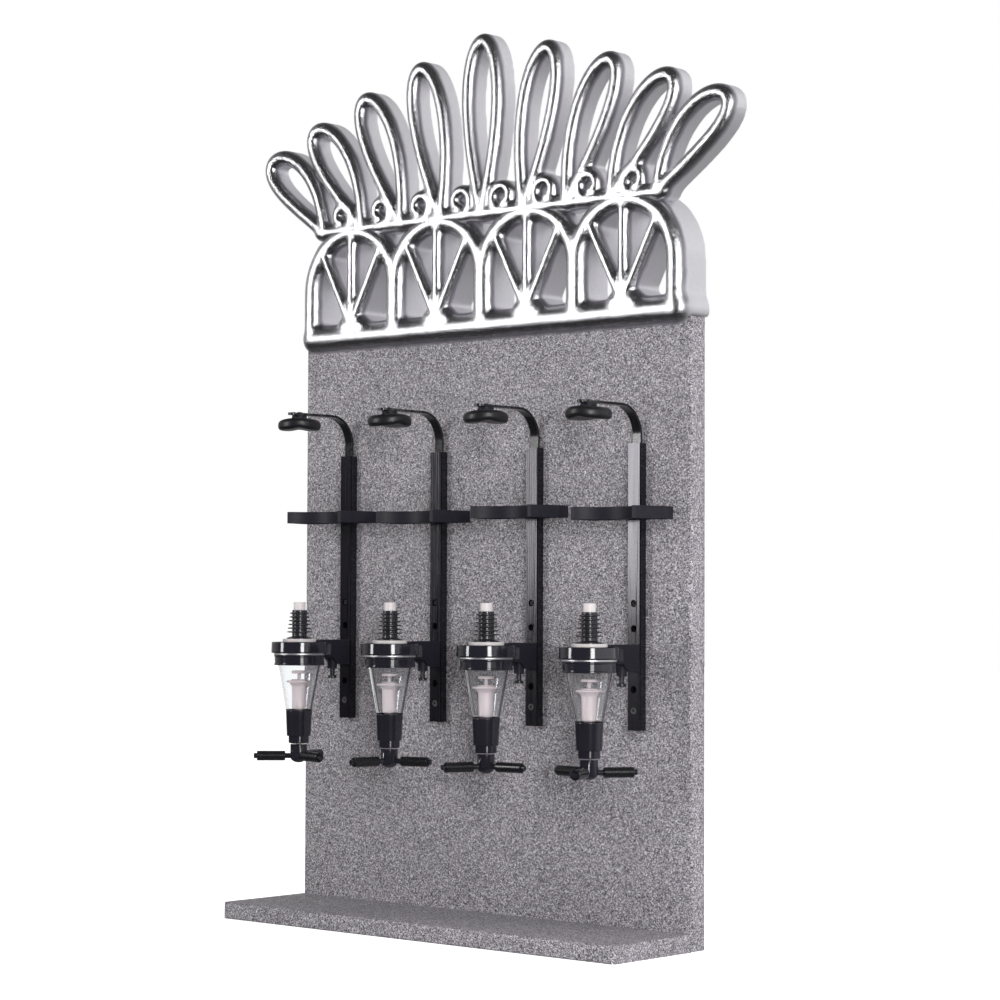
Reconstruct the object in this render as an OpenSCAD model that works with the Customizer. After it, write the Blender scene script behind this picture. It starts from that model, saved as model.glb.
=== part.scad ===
// Bar rack of four spirit measures on a stone-coated stand with a cast crest.
// +X is to the right, -Y towards the user, +Z up; the origin is under the middle of the footprint.
// A station's own frame has its zero on the front face of its rail, in the middle of the rail's width.

/* [Stand] */
// Width of the back panel and the shelf
stand_w = 520; // [515:1:560]
// Height of the back panel
panel_h = 600; // [580:5:700]
// Thickness of the back panel
panel_t = 22; // [20:1:30]
// Reach of the shelf in front of the panel
shelf_reach = 117; // [110:1:160]
// Thickness of the shelf
shelf_t = 17; // [14:1:24]
// Rounding of the panel's edges
panel_edge = 3; // [1:0.5:5]
// Rounding of the shelf's upper edges
shelf_edge = 5; // [2:0.5:6]

/* [Stations] */
// Distance from one station to the next
station_pitch = 129.5; // [126:0.5:133]
// Sideways shift of the row of stations
row_shift = 3.75; // [-4:0.25:4]
// Distance of the bottle's axis in front of the rail
axis_reach = 66; // [64:0.5:72]

/* [Rail] */
// Height of the rail's lower end above the table
rail_z = 206; // [200:1:212]
// Length of the rail
rail_len = 274.5; // [268:0.5:290]
// Width of the rail
rail_w = 14; // [13.5:0.5:18]
// Depth of the rail from the panel to its front face
rail_d = 10; // [9.5:0.5:13]
// Thickness of the rail's front wall
rail_front_wall = 3.7; // [3.2:0.1:4]
// Width of the groove along each front edge of the rail
groove_w = 1; // [0.9:0.1:1.4]
// Depth of that groove
groove_deep = 1.2; // [1:0.1:1.6]
// Diameter of the plain holes in the rail
rail_hole_d = 4.2; // [3.8:0.1:4.8]

/* [Strap] */
// Width of the strap bar
strap_w = 10; // [9:0.5:11]
// Thickness of the strap bar
strap_t = 2.5; // [2:0.1:2.8]
// Height of the strap's top above the rail at rest
strap_rise = 39.5; // [34:0.5:50]
// Outer radius of the strap's bend
strap_bend = 30; // [24:1:33]
// Reach of the strap's end in front of the rail
strap_reach = 82.5; // [81:0.5:90]
// Length of the strap inside the rail at rest
strap_tail = 125; // [115:1:128]

/* [Bottle pad] */
// Diameter of the rubber pad
pad_d = 44; // [38:1:50]
// Height of the pad from its lobes to its crown
pad_h = 12.5; // [10:0.5:14]
// Thickness of the pad in the middle of its groove
pad_middle_t = 7.5; // [7:0.25:9]
// Droop of the pad's crown at the two lobes
pad_droop = 5; // [2:0.25:5.5]
// Distance of the pad's stud in front of the rail
stud_reach = 68; // [66:0.5:72]
// Diameter of the stud that the pad turns on
stud_d = 6; // [5:0.5:7]
// Height of the boss between strap and pad
boss_h = 3.2; // [2:0.2:5]

/* [Cradle] */
// Height of the cradle's underside above the table
cradle_z = 409; // [370:1:440]
// Height of the cradle
cradle_h = 12; // [10:0.5:16]
// Radius of the bottle that the cradle fits
cradle_r = 40; // [38:0.5:44]
// Half width of the cradle along its back
cradle_back = 48; // [46:0.5:54]
// Half width between the cradle's two tips
cradle_mouth = 35; // [32:0.5:37]
// Width of a tip of the cradle
cradle_tip = 4.5; // [3.5:0.25:6]
// Thickness of the cradle's walls
cradle_wall = 2.5; // [2:0.25:3.5]

/* [Bracket] */
// Height of the bracket's underside above the table
bracket_z = 262; // [259:1:266]
// Height of the bracket at the rail
bracket_h = 26; // [25:0.5:28]
// Thickness of the tab that holds the cap down
tab_t = 1.8; // [1.4:0.1:2.4]
// Half angle that the saddle goes round the cap
saddle_angle = 35; // [28:1:42]
// Thickness of the saddle's wings
saddle_t = 4; // [3:0.5:6]
// Distance of the release pin in front of the rail
pin_reach = 18; // [17:0.5:20]
// Diameter of the release pin's stem
pin_d = 5; // [4.5:0.25:5.5]
// Pull of the release pin
pin_travel = 6; // [4:0.5:6.5]

/* [Measure] */
// Diameter of the black cap
cap_d = 57.7; // [56:0.5:60]
// Height of the black cap
cap_h = 11.2; // [10:0.2:12.5]
// Diameter of the bright trim ring
ring_d = 52; // [50.5:0.5:53]
// Height of the trim ring
ring_h = 2; // [1.6:0.1:2.6]
// Diameter of the collar ring
collar_d = 50.6; // [49.4:0.2:50.8]
// Height of the collar ring
collar_h = 10.5; // [9:0.5:12]
// Diameter of the clear chamber at its top
chamber_top_d = 43; // [41:0.5:45]
// Diameter of the clear chamber at its foot
chamber_foot_d = 26.9; // [26:0.1:27]
// Height of the clear chamber's visible cone
chamber_h = 46.4; // [44:0.2:50]
// Wall of the clear chamber
chamber_wall = 1.8; // [1.4:0.1:2.2]
// Height of the valve housing's taper
housing_h = 26.4; // [25:0.2:30]
// Diameter of the housing at its top
housing_top_d = 27; // [27:0.1:28.5]
// Diameter of the housing at its foot
housing_foot_d = 24.8; // [23.5:0.1:25.5]
// Diameter of the nozzle below the housing
nozzle_d = 21; // [20.4:0.2:22]
// Height of the nozzle
nozzle_h = 7.2; // [6.4:0.2:8]
// Lift of the valve when a glass is pushed up
valve_travel = 8; // [6:0.5:8]

/* [Stopper] */
// Diameter of the white intake tube
tube_d = 12.1; // [11.5:0.1:12.5]
// Bore of the intake tube
tube_bore = 8; // [6:0.5:9]
// Height of the tube above the stopper
tube_show = 8.2; // [6:0.2:12]
// Height of the rubber stopper
stopper_h = 29.6; // [28:0.2:34]
// Diameter of the stopper between its ribs
stopper_d = 15.2; // [14.6:0.1:16]
// Diameter of the stopper's smallest rib
rib_small_d = 19.5; // [18:0.5:21]
// Diameter of the stopper's largest rib
rib_large_d = 25; // [23:0.5:26]
// Diameter of the white bottle seal
seal_d = 34.5; // [32:0.5:38]
// Height of the white bottle seal
seal_h = 3.3; // [2.6:0.1:4]

/* [Spider] */
// Diameter of the hub that the arms grow from
hub_d = 17.2; // [16.4:0.2:17.4]
// Height of the hub
hub_h = 19; // [17:0.2:20]
// Reach of an arm from the hub's axis
arm_reach = 46; // [43:0.5:50]
// Diameter of an arm
arm_d = 5.3; // [4.5:0.1:5.8]
// Diameter of the sleeves on the arms
sleeve_d = 10; // [9:0.5:11]
// Length of a sleeve
sleeve_len = 29; // [26:0.5:30]

/* [Crest] */
// Half width of the arcade
arcade_half_w = 256; // [252:1:258]
// Height of the arcade above the panel
arcade_h = 128; // [122:1:140]
// Depth of the arcade from front to back
arcade_depth = 42; // [38:1:48]
// Overhang of the crest in front of the panel
crest_front = 14; // [12:0.5:17]
// Drop of the arcade's lip over the panel's front
lip_drop = 8; // [6:0.5:12]
// Half width of an arch's bar
arch_half = 11; // [10:0.5:12]
// Half width of a spoke
spoke_half = 6; // [5:0.5:7]
// Height of the tallest leaf above the arcade
leaf_h = 183; // [165:1:195]
// Depth of the leaves from front to back
leaf_depth = 25; // [22:1:28]
// Diameter of the studs that pin the crest to the panel
crest_stud_d = 6; // [5:0.5:8]
// Half width of a leaf's bar
leaf_half = 8; // [6.5:0.5:9]

/* [Hidden] */

station_count = 4;
stations = [1 : station_count];
// Turn of each station's spider and of each pad's groove at rest, in degrees
spider_turns = [-15, 18, 6, 52];
pad_turns = [135, 165, 140, 98];
// Height that each station's strap and cradle stand above the common one at rest
strap_lifts = [2.4, 1.2, -0.6, -2.5];
cradle_lifts = [0.4, -1.4, 1.3, -2.2];

// Clearances and one overrun for all cuts
run_gap = 0.3;
fit_gap = 0.05;
pin_gap = 0.1;
over = 1;
edge_steps = 5;
fine = 96;

base_depth = shelf_reach + panel_t;
panel_front_y = base_depth / 2 - panel_t;
rail_face_y = panel_front_y - rail_d;
rail_top = rail_z + rail_len;

function station_x(i) = (i - (station_count + 1) / 2) * station_pitch + row_shift;
function arc(c, r, from, to, steps) =
    [for (k = [0 : steps]) let (a = from + (to - from) * k / steps) c + r * [cos(a), sin(a)]];

module station(i) {
    translate([station_x(i), rail_face_y, 0]) children();
}

module on_axis(i, z = 0) {
    station(i) translate([0, -axis_reach, z]) children();
}

module with_strap(i) {
    station(i) translate([0, 0, strap_lifts[i - 1]]) children();
}

// A side outline, drawn as forward and up, pushed to a width across the station
module side_plate(width) {
    rotate([90, 0, -90]) linear_extrude(width, center = true) children();
}

// A pin or hole along Y, from depth a to depth b in front of the rail's face
module along_y(a, b, r1, r2) {
    translate([0, -a, 0]) rotate([90, 0, 0]) cylinder(h = b - a, r1 = r1, r2 = r2, $fn = fine);
}

module tube(z1, z2, r_out, r_in) {
    translate([0, 0, z1]) difference() {
        cylinder(h = z2 - z1, r = r_out, $fn = fine);
        translate([0, 0, -over]) cylinder(h = z2 - z1 + 2 * over, r = r_in, $fn = fine);
    }
}

// Stand: a tall panel with a shelf screwed to its foot
shelf_under_edge = shelf_edge * 0.6;
shelf_corner = shelf_edge * 1.2;
shelf_screw_d = 4.5;
shelf_screw_head_d = 9;
shelf_screw_head_h = 2.5;
shelf_screw_len = 48;

function box_outline(w, h, r) = concat(
    arc([w / 2 - r, r], r, -90, 0, edge_steps),
    arc([w / 2 - r, h - r], r, 0, 90, edge_steps),
    arc([-w / 2 + r, h - r], r, 90, 180, edge_steps),
    arc([-w / 2 + r, r], r, 180, 270, edge_steps));

module back_panel() {
    color("#96918f") difference() {
        intersection() {
            translate([0, panel_front_y + panel_t, 0]) rotate([90, 0, 0])
                linear_extrude(panel_t) polygon(box_outline(stand_w, panel_h, panel_edge));
            translate([0, panel_front_y, 0])
                linear_extrude(panel_h) polygon(box_outline(stand_w, panel_t, panel_edge));
        }
        crest_stud_rods(fit_gap, run_gap);
        for (i = stations) {
            translate([station_x(i), panel_front_y + panel_t, shelf_t / 2]) shelf_screw_cut();
            for (z = rail_screw_heights)
                station(i) translate([0, 0, z])
                    along_y(-rail_d - rail_screw_grip - run_gap, -rail_d + over, rail_screw_d / 2 + fit_gap,
                            rail_screw_d / 2 + fit_gap);
        }
    }
}

module shelf_screw_cut() {
    along_y(-over, panel_t + over, shelf_screw_d / 2 + fit_gap, shelf_screw_d / 2 + fit_gap);
    along_y(0, shelf_screw_head_h, shelf_screw_head_d / 2, shelf_screw_d / 2);
}

module base_shelf() {
    profile = concat(
        [[0, 0]],
        arc([shelf_reach - shelf_under_edge, shelf_under_edge], shelf_under_edge, -90, 0, edge_steps),
        arc([shelf_reach - shelf_edge, shelf_t - shelf_edge], shelf_edge, 0, 90, edge_steps),
        [[0, shelf_t]]);
    plan = concat(
        [[-stand_w / 2, 0], [stand_w / 2, 0]],
        arc([stand_w / 2 - shelf_corner, -shelf_reach + shelf_corner], shelf_corner, 0, -90, edge_steps),
        arc([-stand_w / 2 + shelf_corner, -shelf_reach + shelf_corner], shelf_corner, -90, -180, edge_steps));
    color("#96918f") difference() {
        translate([0, panel_front_y, 0]) intersection() {
            side_plate(stand_w) polygon(profile);
            linear_extrude(shelf_t) polygon(plan);
        }
        for (i = stations)
            translate([station_x(i), panel_front_y, shelf_t / 2])
                along_y(-over, shelf_screw_len - panel_t + run_gap, shelf_screw_d / 2 + fit_gap,
                        shelf_screw_d / 2 + fit_gap);
    }
}

module shelf_screws() {
    socket_d = shelf_screw_d * 0.6;
    color("silver") for (i = stations)
        translate([station_x(i), panel_front_y + panel_t, shelf_t / 2]) difference() {
            union() {
                along_y(0, shelf_screw_head_h, shelf_screw_head_d / 2, shelf_screw_d / 2);
                along_y(0, shelf_screw_len, shelf_screw_d / 2, shelf_screw_d / 2);
            }
            along_y(-over, shelf_screw_head_h * 0.8, socket_d / 2, socket_d / 2);
        }
}

// Rail: a black extrusion with a channel for the strap, holes and two fixing screws
channel_w = strap_w + 2 * run_gap;
channel_d = strap_t + 2 * run_gap;
channel_back = rail_front_wall + channel_d;
groove_inset = 0.9;
rail_screw_d = 3;
rail_screw_head_d = 6.6;
rail_screw_head_h = 2;
rail_screw_grip = 14;
foot_screw_up = 18.7;
low_hole_up = 39;
mid_hole_up = 97;
top_screw_up = 121;
rail_foot_screw = rail_z + foot_screw_up;
rail_top_screw = rail_z + top_screw_up;
rail_screw_heights = [rail_foot_screw, rail_top_screw];
rail_hole_heights = [rail_z + low_hole_up, rail_z + mid_hole_up, rail_top_screw];
saddle_screw_d = 4;
saddle_screw_head_d = 6.4;
saddle_screw_head_h = 2;
saddle_screw_bite = 10;
saddle_screw_inset = 6;
saddle_screw_heights = [bracket_z + saddle_screw_inset, bracket_z + bracket_h - saddle_screw_inset];
driver_hole_d = saddle_screw_head_d + 2 * run_gap;
strap_spring_d = 2.4;
spring_side = channel_w / 2 - 2 * run_gap - strap_spring_d / 2;
peg_d = 2;
peg_up = 8;
peg_z = rail_foot_screw + peg_up;

module rails() {
    color("#1a1a1e") for (i = stations) station(i) {
        difference() {
            translate([-rail_w / 2, 0, rail_z]) cube([rail_w, rail_d, rail_len]);
            translate([-channel_w / 2, rail_front_wall, rail_z - over])
                cube([channel_w, channel_d, rail_len + 2 * over]);
            for (s = [-1, 1])
                translate([s * (rail_w / 2 - groove_deep / 2 + over / 2), groove_inset + groove_w / 2,
                           rail_z + rail_len / 2])
                    cube([groove_deep + over, groove_w, rail_len + 2 * over], center = true);
            for (z = rail_hole_heights)
                translate([0, 0, z]) along_y(-rail_front_wall - over, over, rail_hole_d / 2, rail_hole_d / 2);
            translate([0, 0, rail_foot_screw]) {
                along_y(-rail_front_wall - over, over, rail_screw_d / 2 + fit_gap, rail_screw_d / 2 + fit_gap);
                along_y(-rail_screw_head_h, 0, rail_screw_d / 2 + fit_gap, rail_screw_head_d / 2 + fit_gap);
            }
            for (z = rail_screw_heights)
                translate([0, 0, z])
                    along_y(-rail_d - over, -rail_front_wall, rail_screw_d / 2 + fit_gap,
                            rail_screw_d / 2 + fit_gap);
            for (z = saddle_screw_heights) translate([0, 0, z]) {
                along_y(-rail_d - over, -channel_back + over, driver_hole_d / 2, driver_hole_d / 2);
                along_y(-rail_front_wall - over, over, saddle_screw_d / 2 + fit_gap,
                        saddle_screw_d / 2 + fit_gap);
                along_y(-rail_front_wall, -rail_front_wall + saddle_screw_head_h, saddle_screw_head_d / 2,
                        saddle_screw_d / 2);
            }
        }
        translate([spring_side, 0, peg_z]) along_y(-channel_back, -rail_front_wall, peg_d / 2, peg_d / 2);
    }
}

module rail_screws() {
    socket_d = rail_screw_d * 0.9;
    tall_head_d = rail_hole_d - 2 * pin_gap;
    color("#2b2b30") for (i = stations) station(i) {
        translate([0, 0, rail_foot_screw]) difference() {
            union() {
                along_y(-rail_screw_head_h, 0, rail_screw_d / 2, rail_screw_head_d / 2);
                along_y(-rail_d - rail_screw_grip, 0, rail_screw_d / 2, rail_screw_d / 2);
            }
            along_y(-rail_screw_head_h * 0.8, over, socket_d / 2, socket_d / 2);
        }
        translate([0, 0, rail_top_screw]) difference() {
            union() {
                along_y(-channel_back, -groove_inset, tall_head_d / 2, tall_head_d / 2);
                along_y(-rail_d - rail_screw_grip, -channel_back, rail_screw_d / 2, rail_screw_d / 2);
            }
            along_y(-rail_front_wall, over, socket_d / 2, socket_d / 2);
        }
    }
}

// Bracket: an arm on the rail with a half collar round the measure's cap
cap_top = bracket_z + bracket_h - tab_t - run_gap;
cap_z = cap_top - cap_h;
ring_z = cap_z - ring_h;
collar_z = ring_z - collar_h;
chamber_z = collar_z - chamber_h;
housing_z = chamber_z - housing_h;
nozzle_z = housing_z - nozzle_h;
belly_flat = bracket_h * 0.35;
belly_r = bracket_h * 0.67;
arm_under = bracket_h * 0.29;
belly_end = -asin((belly_r - arm_under) / belly_r);
tab_over = 8.2;
tab_reach = axis_reach - cap_d / 2 + tab_over;
saddle_r = cap_d / 2 + run_gap;
ledge_r = ring_d / 2 + 2 * run_gap;
barrel_d = pin_d * 2;
barrel_drop = pin_d * 0.84;
barrel_floor = pin_d * 0.42;
pin_collar_d = pin_d * 1.5;
pin_collar_h = pin_d * 0.4;
pin_bore_d = pin_collar_d + 2 * run_gap;
pin_spring_len = pin_d * 3.2;
pin_seat = bracket_z - barrel_drop + barrel_floor;
pin_collar_z = pin_seat + pin_spring_len;
pin_nose = pin_d * 0.8;
pin_show = pin_d * 1.35;
pull_disc_d = pin_d * 1.8;
pull_disc_h = pin_d * 0.6;

module brackets() {
    profile = concat(
        [[0, 0]],
        arc([belly_flat, belly_r], belly_r, -90, belly_end, edge_steps),
        [[tab_reach, arm_under], [tab_reach, bracket_h], [0, bracket_h]]);
    plan = concat(
        [[-rail_w / 2, 0]],
        arc([0, rail_w / 2 - tab_reach], rail_w / 2, -180, 0, 3 * edge_steps),
        [[rail_w / 2, 0]]);
    color("#1c1c20") for (i = stations) station(i) difference() {
        union() {
            translate([0, 0, bracket_z]) intersection() {
                side_plate(rail_w + 2 * over) polygon(profile);
                linear_extrude(bracket_h) polygon(plan);
            }
            translate([0, -axis_reach, ring_z]) rotate([0, 0, 90 - saddle_angle])
                rotate_extrude(angle = 2 * saddle_angle, $fn = fine)
                    polygon([[ledge_r - over, 0], [saddle_r + saddle_t, 0], [saddle_r + saddle_t, cap_h],
                             [ledge_r - over, cap_h]]);
            translate([0, -pin_reach, bracket_z - barrel_drop])
                cylinder(h = barrel_drop + arm_under + over, r = barrel_d / 2, $fn = fine);
        }
        translate([0, -axis_reach, 0]) {
            translate([0, 0, bracket_z - over])
                cylinder(h = cap_z - bracket_z + over, r = ledge_r, $fn = fine);
            translate([0, 0, cap_z])
                cylinder(h = cap_top + run_gap - cap_z, r = saddle_r, $fn = fine);
        }
        translate([0, -pin_reach, 0]) {
            translate([0, 0, bracket_z - barrel_drop - over])
                cylinder(h = barrel_drop + bracket_h, r = pin_d / 2 + pin_gap, $fn = fine);
            translate([0, 0, pin_seat])
                cylinder(h = pin_spring_len + pin_collar_h + run_gap, r = pin_bore_d / 2, $fn = fine);
        }
        for (z = saddle_screw_heights)
            translate([0, 0, z])
                along_y(-over, saddle_screw_bite + run_gap, saddle_screw_d / 2 + fit_gap,
                        saddle_screw_d / 2 + fit_gap);
    }
}

module saddle_screws() {
    color("silver") for (i = stations) station(i) for (z = saddle_screw_heights)
        translate([0, 0, z]) difference() {
            union() {
                along_y(-rail_front_wall, -rail_front_wall + saddle_screw_head_h, saddle_screw_head_d / 2,
                        saddle_screw_d / 2);
                along_y(-rail_front_wall, saddle_screw_bite, saddle_screw_d / 2, saddle_screw_d / 2);
            }
            along_y(-rail_front_wall - over, -rail_front_wall + saddle_screw_head_h * 0.7,
                    saddle_screw_d * 0.3, saddle_screw_d * 0.3);
        }
}

// Release pin: pulled down against its spring to free the measure
module release_pin(i) {
    color("#26262b") station(i) translate([0, -pin_reach, 0]) {
        translate([0, 0, bracket_z - barrel_drop - pin_show])
            cylinder(h = barrel_drop + pin_show + pin_collar_z - bracket_z + pin_collar_h + pin_nose,
                     r = pin_d / 2, $fn = fine);
        translate([0, 0, pin_collar_z]) cylinder(h = pin_collar_h, r = pin_collar_d / 2, $fn = fine);
        translate([0, 0, bracket_z - barrel_drop - pin_show - pull_disc_h])
            cylinder(h = pull_disc_h, r = pull_disc_d / 2, $fn = fine);
    }
}

module release_spring(i) {
    color("silver") station(i) translate([0, -pin_reach, 0])
        tube(pin_seat, pin_collar_z, pin_collar_d / 2, pin_d / 2 + run_gap);
}

// Strap: a bent bar that slides in the rail's channel, with a shallow seat at its end for the rivet
strap_top = rail_top + strap_rise;
strap_face = -rail_front_wall - run_gap;
strap_back = strap_face - strap_t;
strap_foot = rail_top - strap_tail;
rivet_reach = stud_reach + strap_w * 0.8;
rivet_d = strap_w * 0.55;
rivet_stem_d = strap_w * 0.26;
seat_deep = strap_t * 0.6;
seat_from = rivet_reach - strap_w * 0.42;
seat_to = rivet_reach + strap_w * 0.38;
neck_d = stud_d * 0.68;
head_d = stud_d * 1.08;
head_h = stud_d * 0.15;

module strap(i) {
    bend_c = [strap_back + strap_bend, strap_top - strap_bend];
    plan_end = strap_reach - strap_w / 2;
    color("#17171a") with_strap(i) difference() {
        intersection() {
            side_plate(strap_w) {
                translate([strap_back, strap_foot]) square([strap_t, bend_c[1] - strap_foot]);
                translate([bend_c[0], strap_top - strap_t]) square([strap_reach - bend_c[0], strap_t]);
                intersection() {
                    difference() {
                        translate(bend_c) circle(r = strap_bend, $fn = fine);
                        translate(bend_c) circle(r = strap_bend - strap_t, $fn = fine);
                    }
                    translate([strap_back, bend_c[1]]) square([strap_bend, strap_bend]);
                }
            }
            union() {
                translate([-strap_w / 2, -plan_end, strap_foot])
                    cube([strap_w, plan_end - strap_back + over, strap_top - strap_foot]);
                translate([0, -plan_end, strap_foot])
                    cylinder(h = strap_top - strap_foot, r = strap_w / 2, $fn = fine);
            }
        }
        translate([-strap_w / 2 - over, -seat_to, strap_top - seat_deep])
            cube([strap_w + 2 * over, seat_to - seat_from, seat_deep + over]);
        translate([0, -stud_reach, strap_top - strap_t - over])
            cylinder(h = strap_t + 2 * over, r = neck_d / 2 + fit_gap, $fn = fine);
        translate([0, -rivet_reach, strap_top - strap_t - over])
            cylinder(h = strap_t + 2 * over, r = rivet_stem_d / 2 + fit_gap, $fn = fine);
    }
}

// Stud: carries the pad under the strap, with a flange inside the pad, and a bright rivet beside it
boss_top_d = stud_d * 2.5;
boss_foot_d = stud_d * 2.66;
stud_flange_d = stud_d * 1.7;
stud_flange_h = stud_d * 0.2;
stud_into_pad = stud_d * 0.72;
boss_top = strap_top - strap_t;
boss_foot = boss_top - boss_h;
pad_top = boss_foot - run_gap;

module pad_stud(i) {
    flange_z = pad_top - stud_into_pad - stud_flange_h;
    seat_z = strap_top - seat_deep;
    dome_h = strap_t * 0.9;
    color("#2a2a2e") with_strap(i) {
        translate([0, -stud_reach, 0]) rotate_extrude($fn = fine) polygon([
            [0, flange_z], [stud_flange_d / 2, flange_z], [stud_flange_d / 2, flange_z + stud_flange_h],
            [stud_d / 2, flange_z + stud_flange_h], [stud_d / 2, boss_foot], [boss_foot_d / 2, boss_foot],
            [boss_top_d / 2, boss_top], [neck_d / 2, boss_top], [neck_d / 2, strap_top],
            [head_d / 2, strap_top], [head_d * 0.36, strap_top + head_h], [0, strap_top + head_h]]);
        translate([0, -rivet_reach, 0]) rotate_extrude($fn = fine) polygon(concat(
            [[0, boss_top], [rivet_stem_d / 2, boss_top], [rivet_stem_d / 2, seat_z], [rivet_d / 2, seat_z]],
            [for (a = [15 : 15 : 90]) [rivet_d / 2 * cos(a), seat_z + dome_h * sin(a)]]));
    }
}

// Pad: a round rubber saddle with a groove across its underside
module bottle_pad(i) {
    r = pad_d / 2;
    shoulder = pad_h * 0.66;
    heel = pad_h * 0.32;
    groove_rise = pad_h - pad_middle_t;
    groove_r = (r * r + groove_rise * groove_rise) / (2 * groove_rise);
    crown_r = (r * r + pad_droop * pad_droop) / (2 * pad_droop);
    outline = concat(
        [[0, -pad_h]],
        arc([r - heel, -pad_h + heel], heel, -90, 0, edge_steps),
        arc([r - shoulder, -shoulder], shoulder, 0, 90, 2 * edge_steps),
        [[0, 0]]);
    color("#1e1e21") with_strap(i) translate([0, -stud_reach, pad_top]) rotate([0, 0, pad_turns[i - 1]])
        difference() {
            intersection() {
                rotate_extrude($fn = fine) polygon(outline);
                translate([0, 0, -crown_r]) rotate([0, 90, 0])
                    cylinder(h = pad_d + over, r = crown_r, center = true, $fn = 2 * fine);
            }
            translate([0, 0, -pad_middle_t - groove_r]) rotate([0, 90, 0])
                cylinder(h = pad_d + over, r = groove_r, center = true, $fn = 2 * fine);
            translate([0, 0, -stud_into_pad - run_gap])
                cylinder(h = pad_h, r = stud_d / 2 + pin_gap, $fn = fine);
            translate([0, 0, -stud_into_pad - stud_flange_h - run_gap])
                cylinder(h = stud_flange_h + 2 * run_gap, r = stud_flange_d / 2 + run_gap, $fn = fine);
        }
}

// Strap spring: a slim tension spring inside the rail that pulls the strap down
module strap_spring(i) {
    spring_z = peg_z + peg_d / 2 + run_gap;
    color("silver") station(i)
        translate([spring_side, rail_front_wall + channel_d / 2, spring_z])
            cylinder(h = strap_foot + strap_lifts[i - 1] - spring_z - run_gap, r = strap_spring_d / 2,
                     $fn = fine / 2);
}

// Cradle: a hollow moulding that clips round the rail and holds the bottle's side
module cradle_outline(inset) {
    tip_f = axis_reach - sqrt(pow(cradle_r, 2) - pow(cradle_mouth, 2));
    side_f = tip_f * 0.3;
    side_x = cradle_back * 1.01;
    tip_x = cradle_mouth + cradle_tip - inset;
    difference() {
        polygon([
            [-cradle_back + inset, -run_gap - inset], [cradle_back - inset, -run_gap - inset],
            [side_x - inset, -side_f], [tip_x, -tip_f + inset / 4],
            [-tip_x, -tip_f + inset / 4], [-side_x + inset, -side_f]]);
        translate([0, -axis_reach]) circle(r = cradle_r + inset, $fn = 2 * fine);
    }
}

module cradle(i) {
    cheek_in = rail_w / 2 + run_gap;
    cheek_w = cradle_wall;
    cheek_deep = rail_d * 0.85;
    lip_in = rail_w / 2 - groove_deep + run_gap;
    lip_y = groove_inset + groove_w * 0.2;
    lip_t = groove_w * 0.6;
    block_half = cheek_in + cheek_w;
    rib_x = (block_half + cradle_back) / 2;
    color("#1b1b1f") station(i) translate([0, 0, cradle_z + cradle_lifts[i - 1]]) {
        difference() {
            linear_extrude(cradle_h) cradle_outline(0);
            translate([0, 0, -over]) linear_extrude(cradle_h - cradle_wall + over) difference() {
                cradle_outline(cradle_wall);
                translate([-block_half, -axis_reach]) square([2 * block_half, axis_reach]);
                for (s = [-1, 1])
                    translate([s * rib_x - cradle_wall / 2, -axis_reach]) square([cradle_wall, axis_reach]);
            }
        }
        for (s = [-1, 1]) {
            translate([s * (cheek_in + cheek_w / 2), (cheek_deep - 2 * run_gap) / 2, cradle_h / 2])
                cube([cheek_w, cheek_deep + 2 * run_gap, cradle_h], center = true);
            translate([s * (lip_in + cheek_in + cheek_w) / 2, lip_y + lip_t / 2, cradle_h / 2])
                cube([cheek_in + cheek_w - lip_in, lip_t, cradle_h], center = true);
        }
    }
}

// Intake tube: one white moulding of tube and bottle seal, down to the inlet seat
inlet_z = ring_z - collar_h * 0.76;
seal_top = cap_top + seal_h;
stopper_top = seal_top + stopper_h;
tube_top = stopper_top + tube_show;

module intake_tubes() {
    lip = tube_d * 0.04;
    color("#eeeae4") for (i = stations) on_axis(i)
        rotate_extrude($fn = fine) polygon([
            [tube_bore / 2, inlet_z], [tube_d / 2, inlet_z], [tube_d / 2, cap_top],
            [seal_d / 2 - lip, cap_top], [seal_d / 2, cap_top + lip], [seal_d / 2, seal_top - lip],
            [seal_d / 2 - lip, seal_top], [tube_d / 2, seal_top], [tube_d / 2, tube_top - lip],
            [tube_d / 2 - lip, tube_top], [tube_bore / 2, tube_top]]);
}

// Stopper: ribbed rubber that grips the bottle's neck, its ribs growing towards the seal
rib_count = 6;
rib_first_share = 0.11;
rib_last_share = 0.76;
rib_root = 1.8;
rib_tip = 1.1;
stopper_foot_d = seal_d * 0.75;
stopper_foot_h = 1.1;

module stoppers() {
    color("#18181a") for (i = stations) on_axis(i, seal_top) {
        tube(0, stopper_h, stopper_d / 2, tube_d / 2 + fit_gap);
        rotate_extrude($fn = fine) polygon([
            [tube_d / 2 + fit_gap, 0], [stopper_foot_d / 2, 0],
            [stopper_foot_d / 2, stopper_foot_h], [tube_d / 2 + fit_gap, stopper_foot_h + rib_root]]);
        for (k = [0 : rib_count - 1]) {
            s = k / (rib_count - 1);
            z = stopper_h * (1 - rib_first_share - (rib_last_share - rib_first_share) * s);
            r = (rib_small_d + (rib_large_d - rib_small_d) * s) / 2;
            rotate_extrude($fn = fine) polygon([
                [tube_d / 2 + fit_gap + over, z - rib_root / 2], [stopper_d / 2, z - rib_root / 2],
                [r, z - rib_tip / 2], [r, z + rib_tip / 2],
                [stopper_d / 2, z + rib_root / 2], [tube_d / 2 + fit_gap + over, z + rib_root / 2]]);
        }
    }
}

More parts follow.
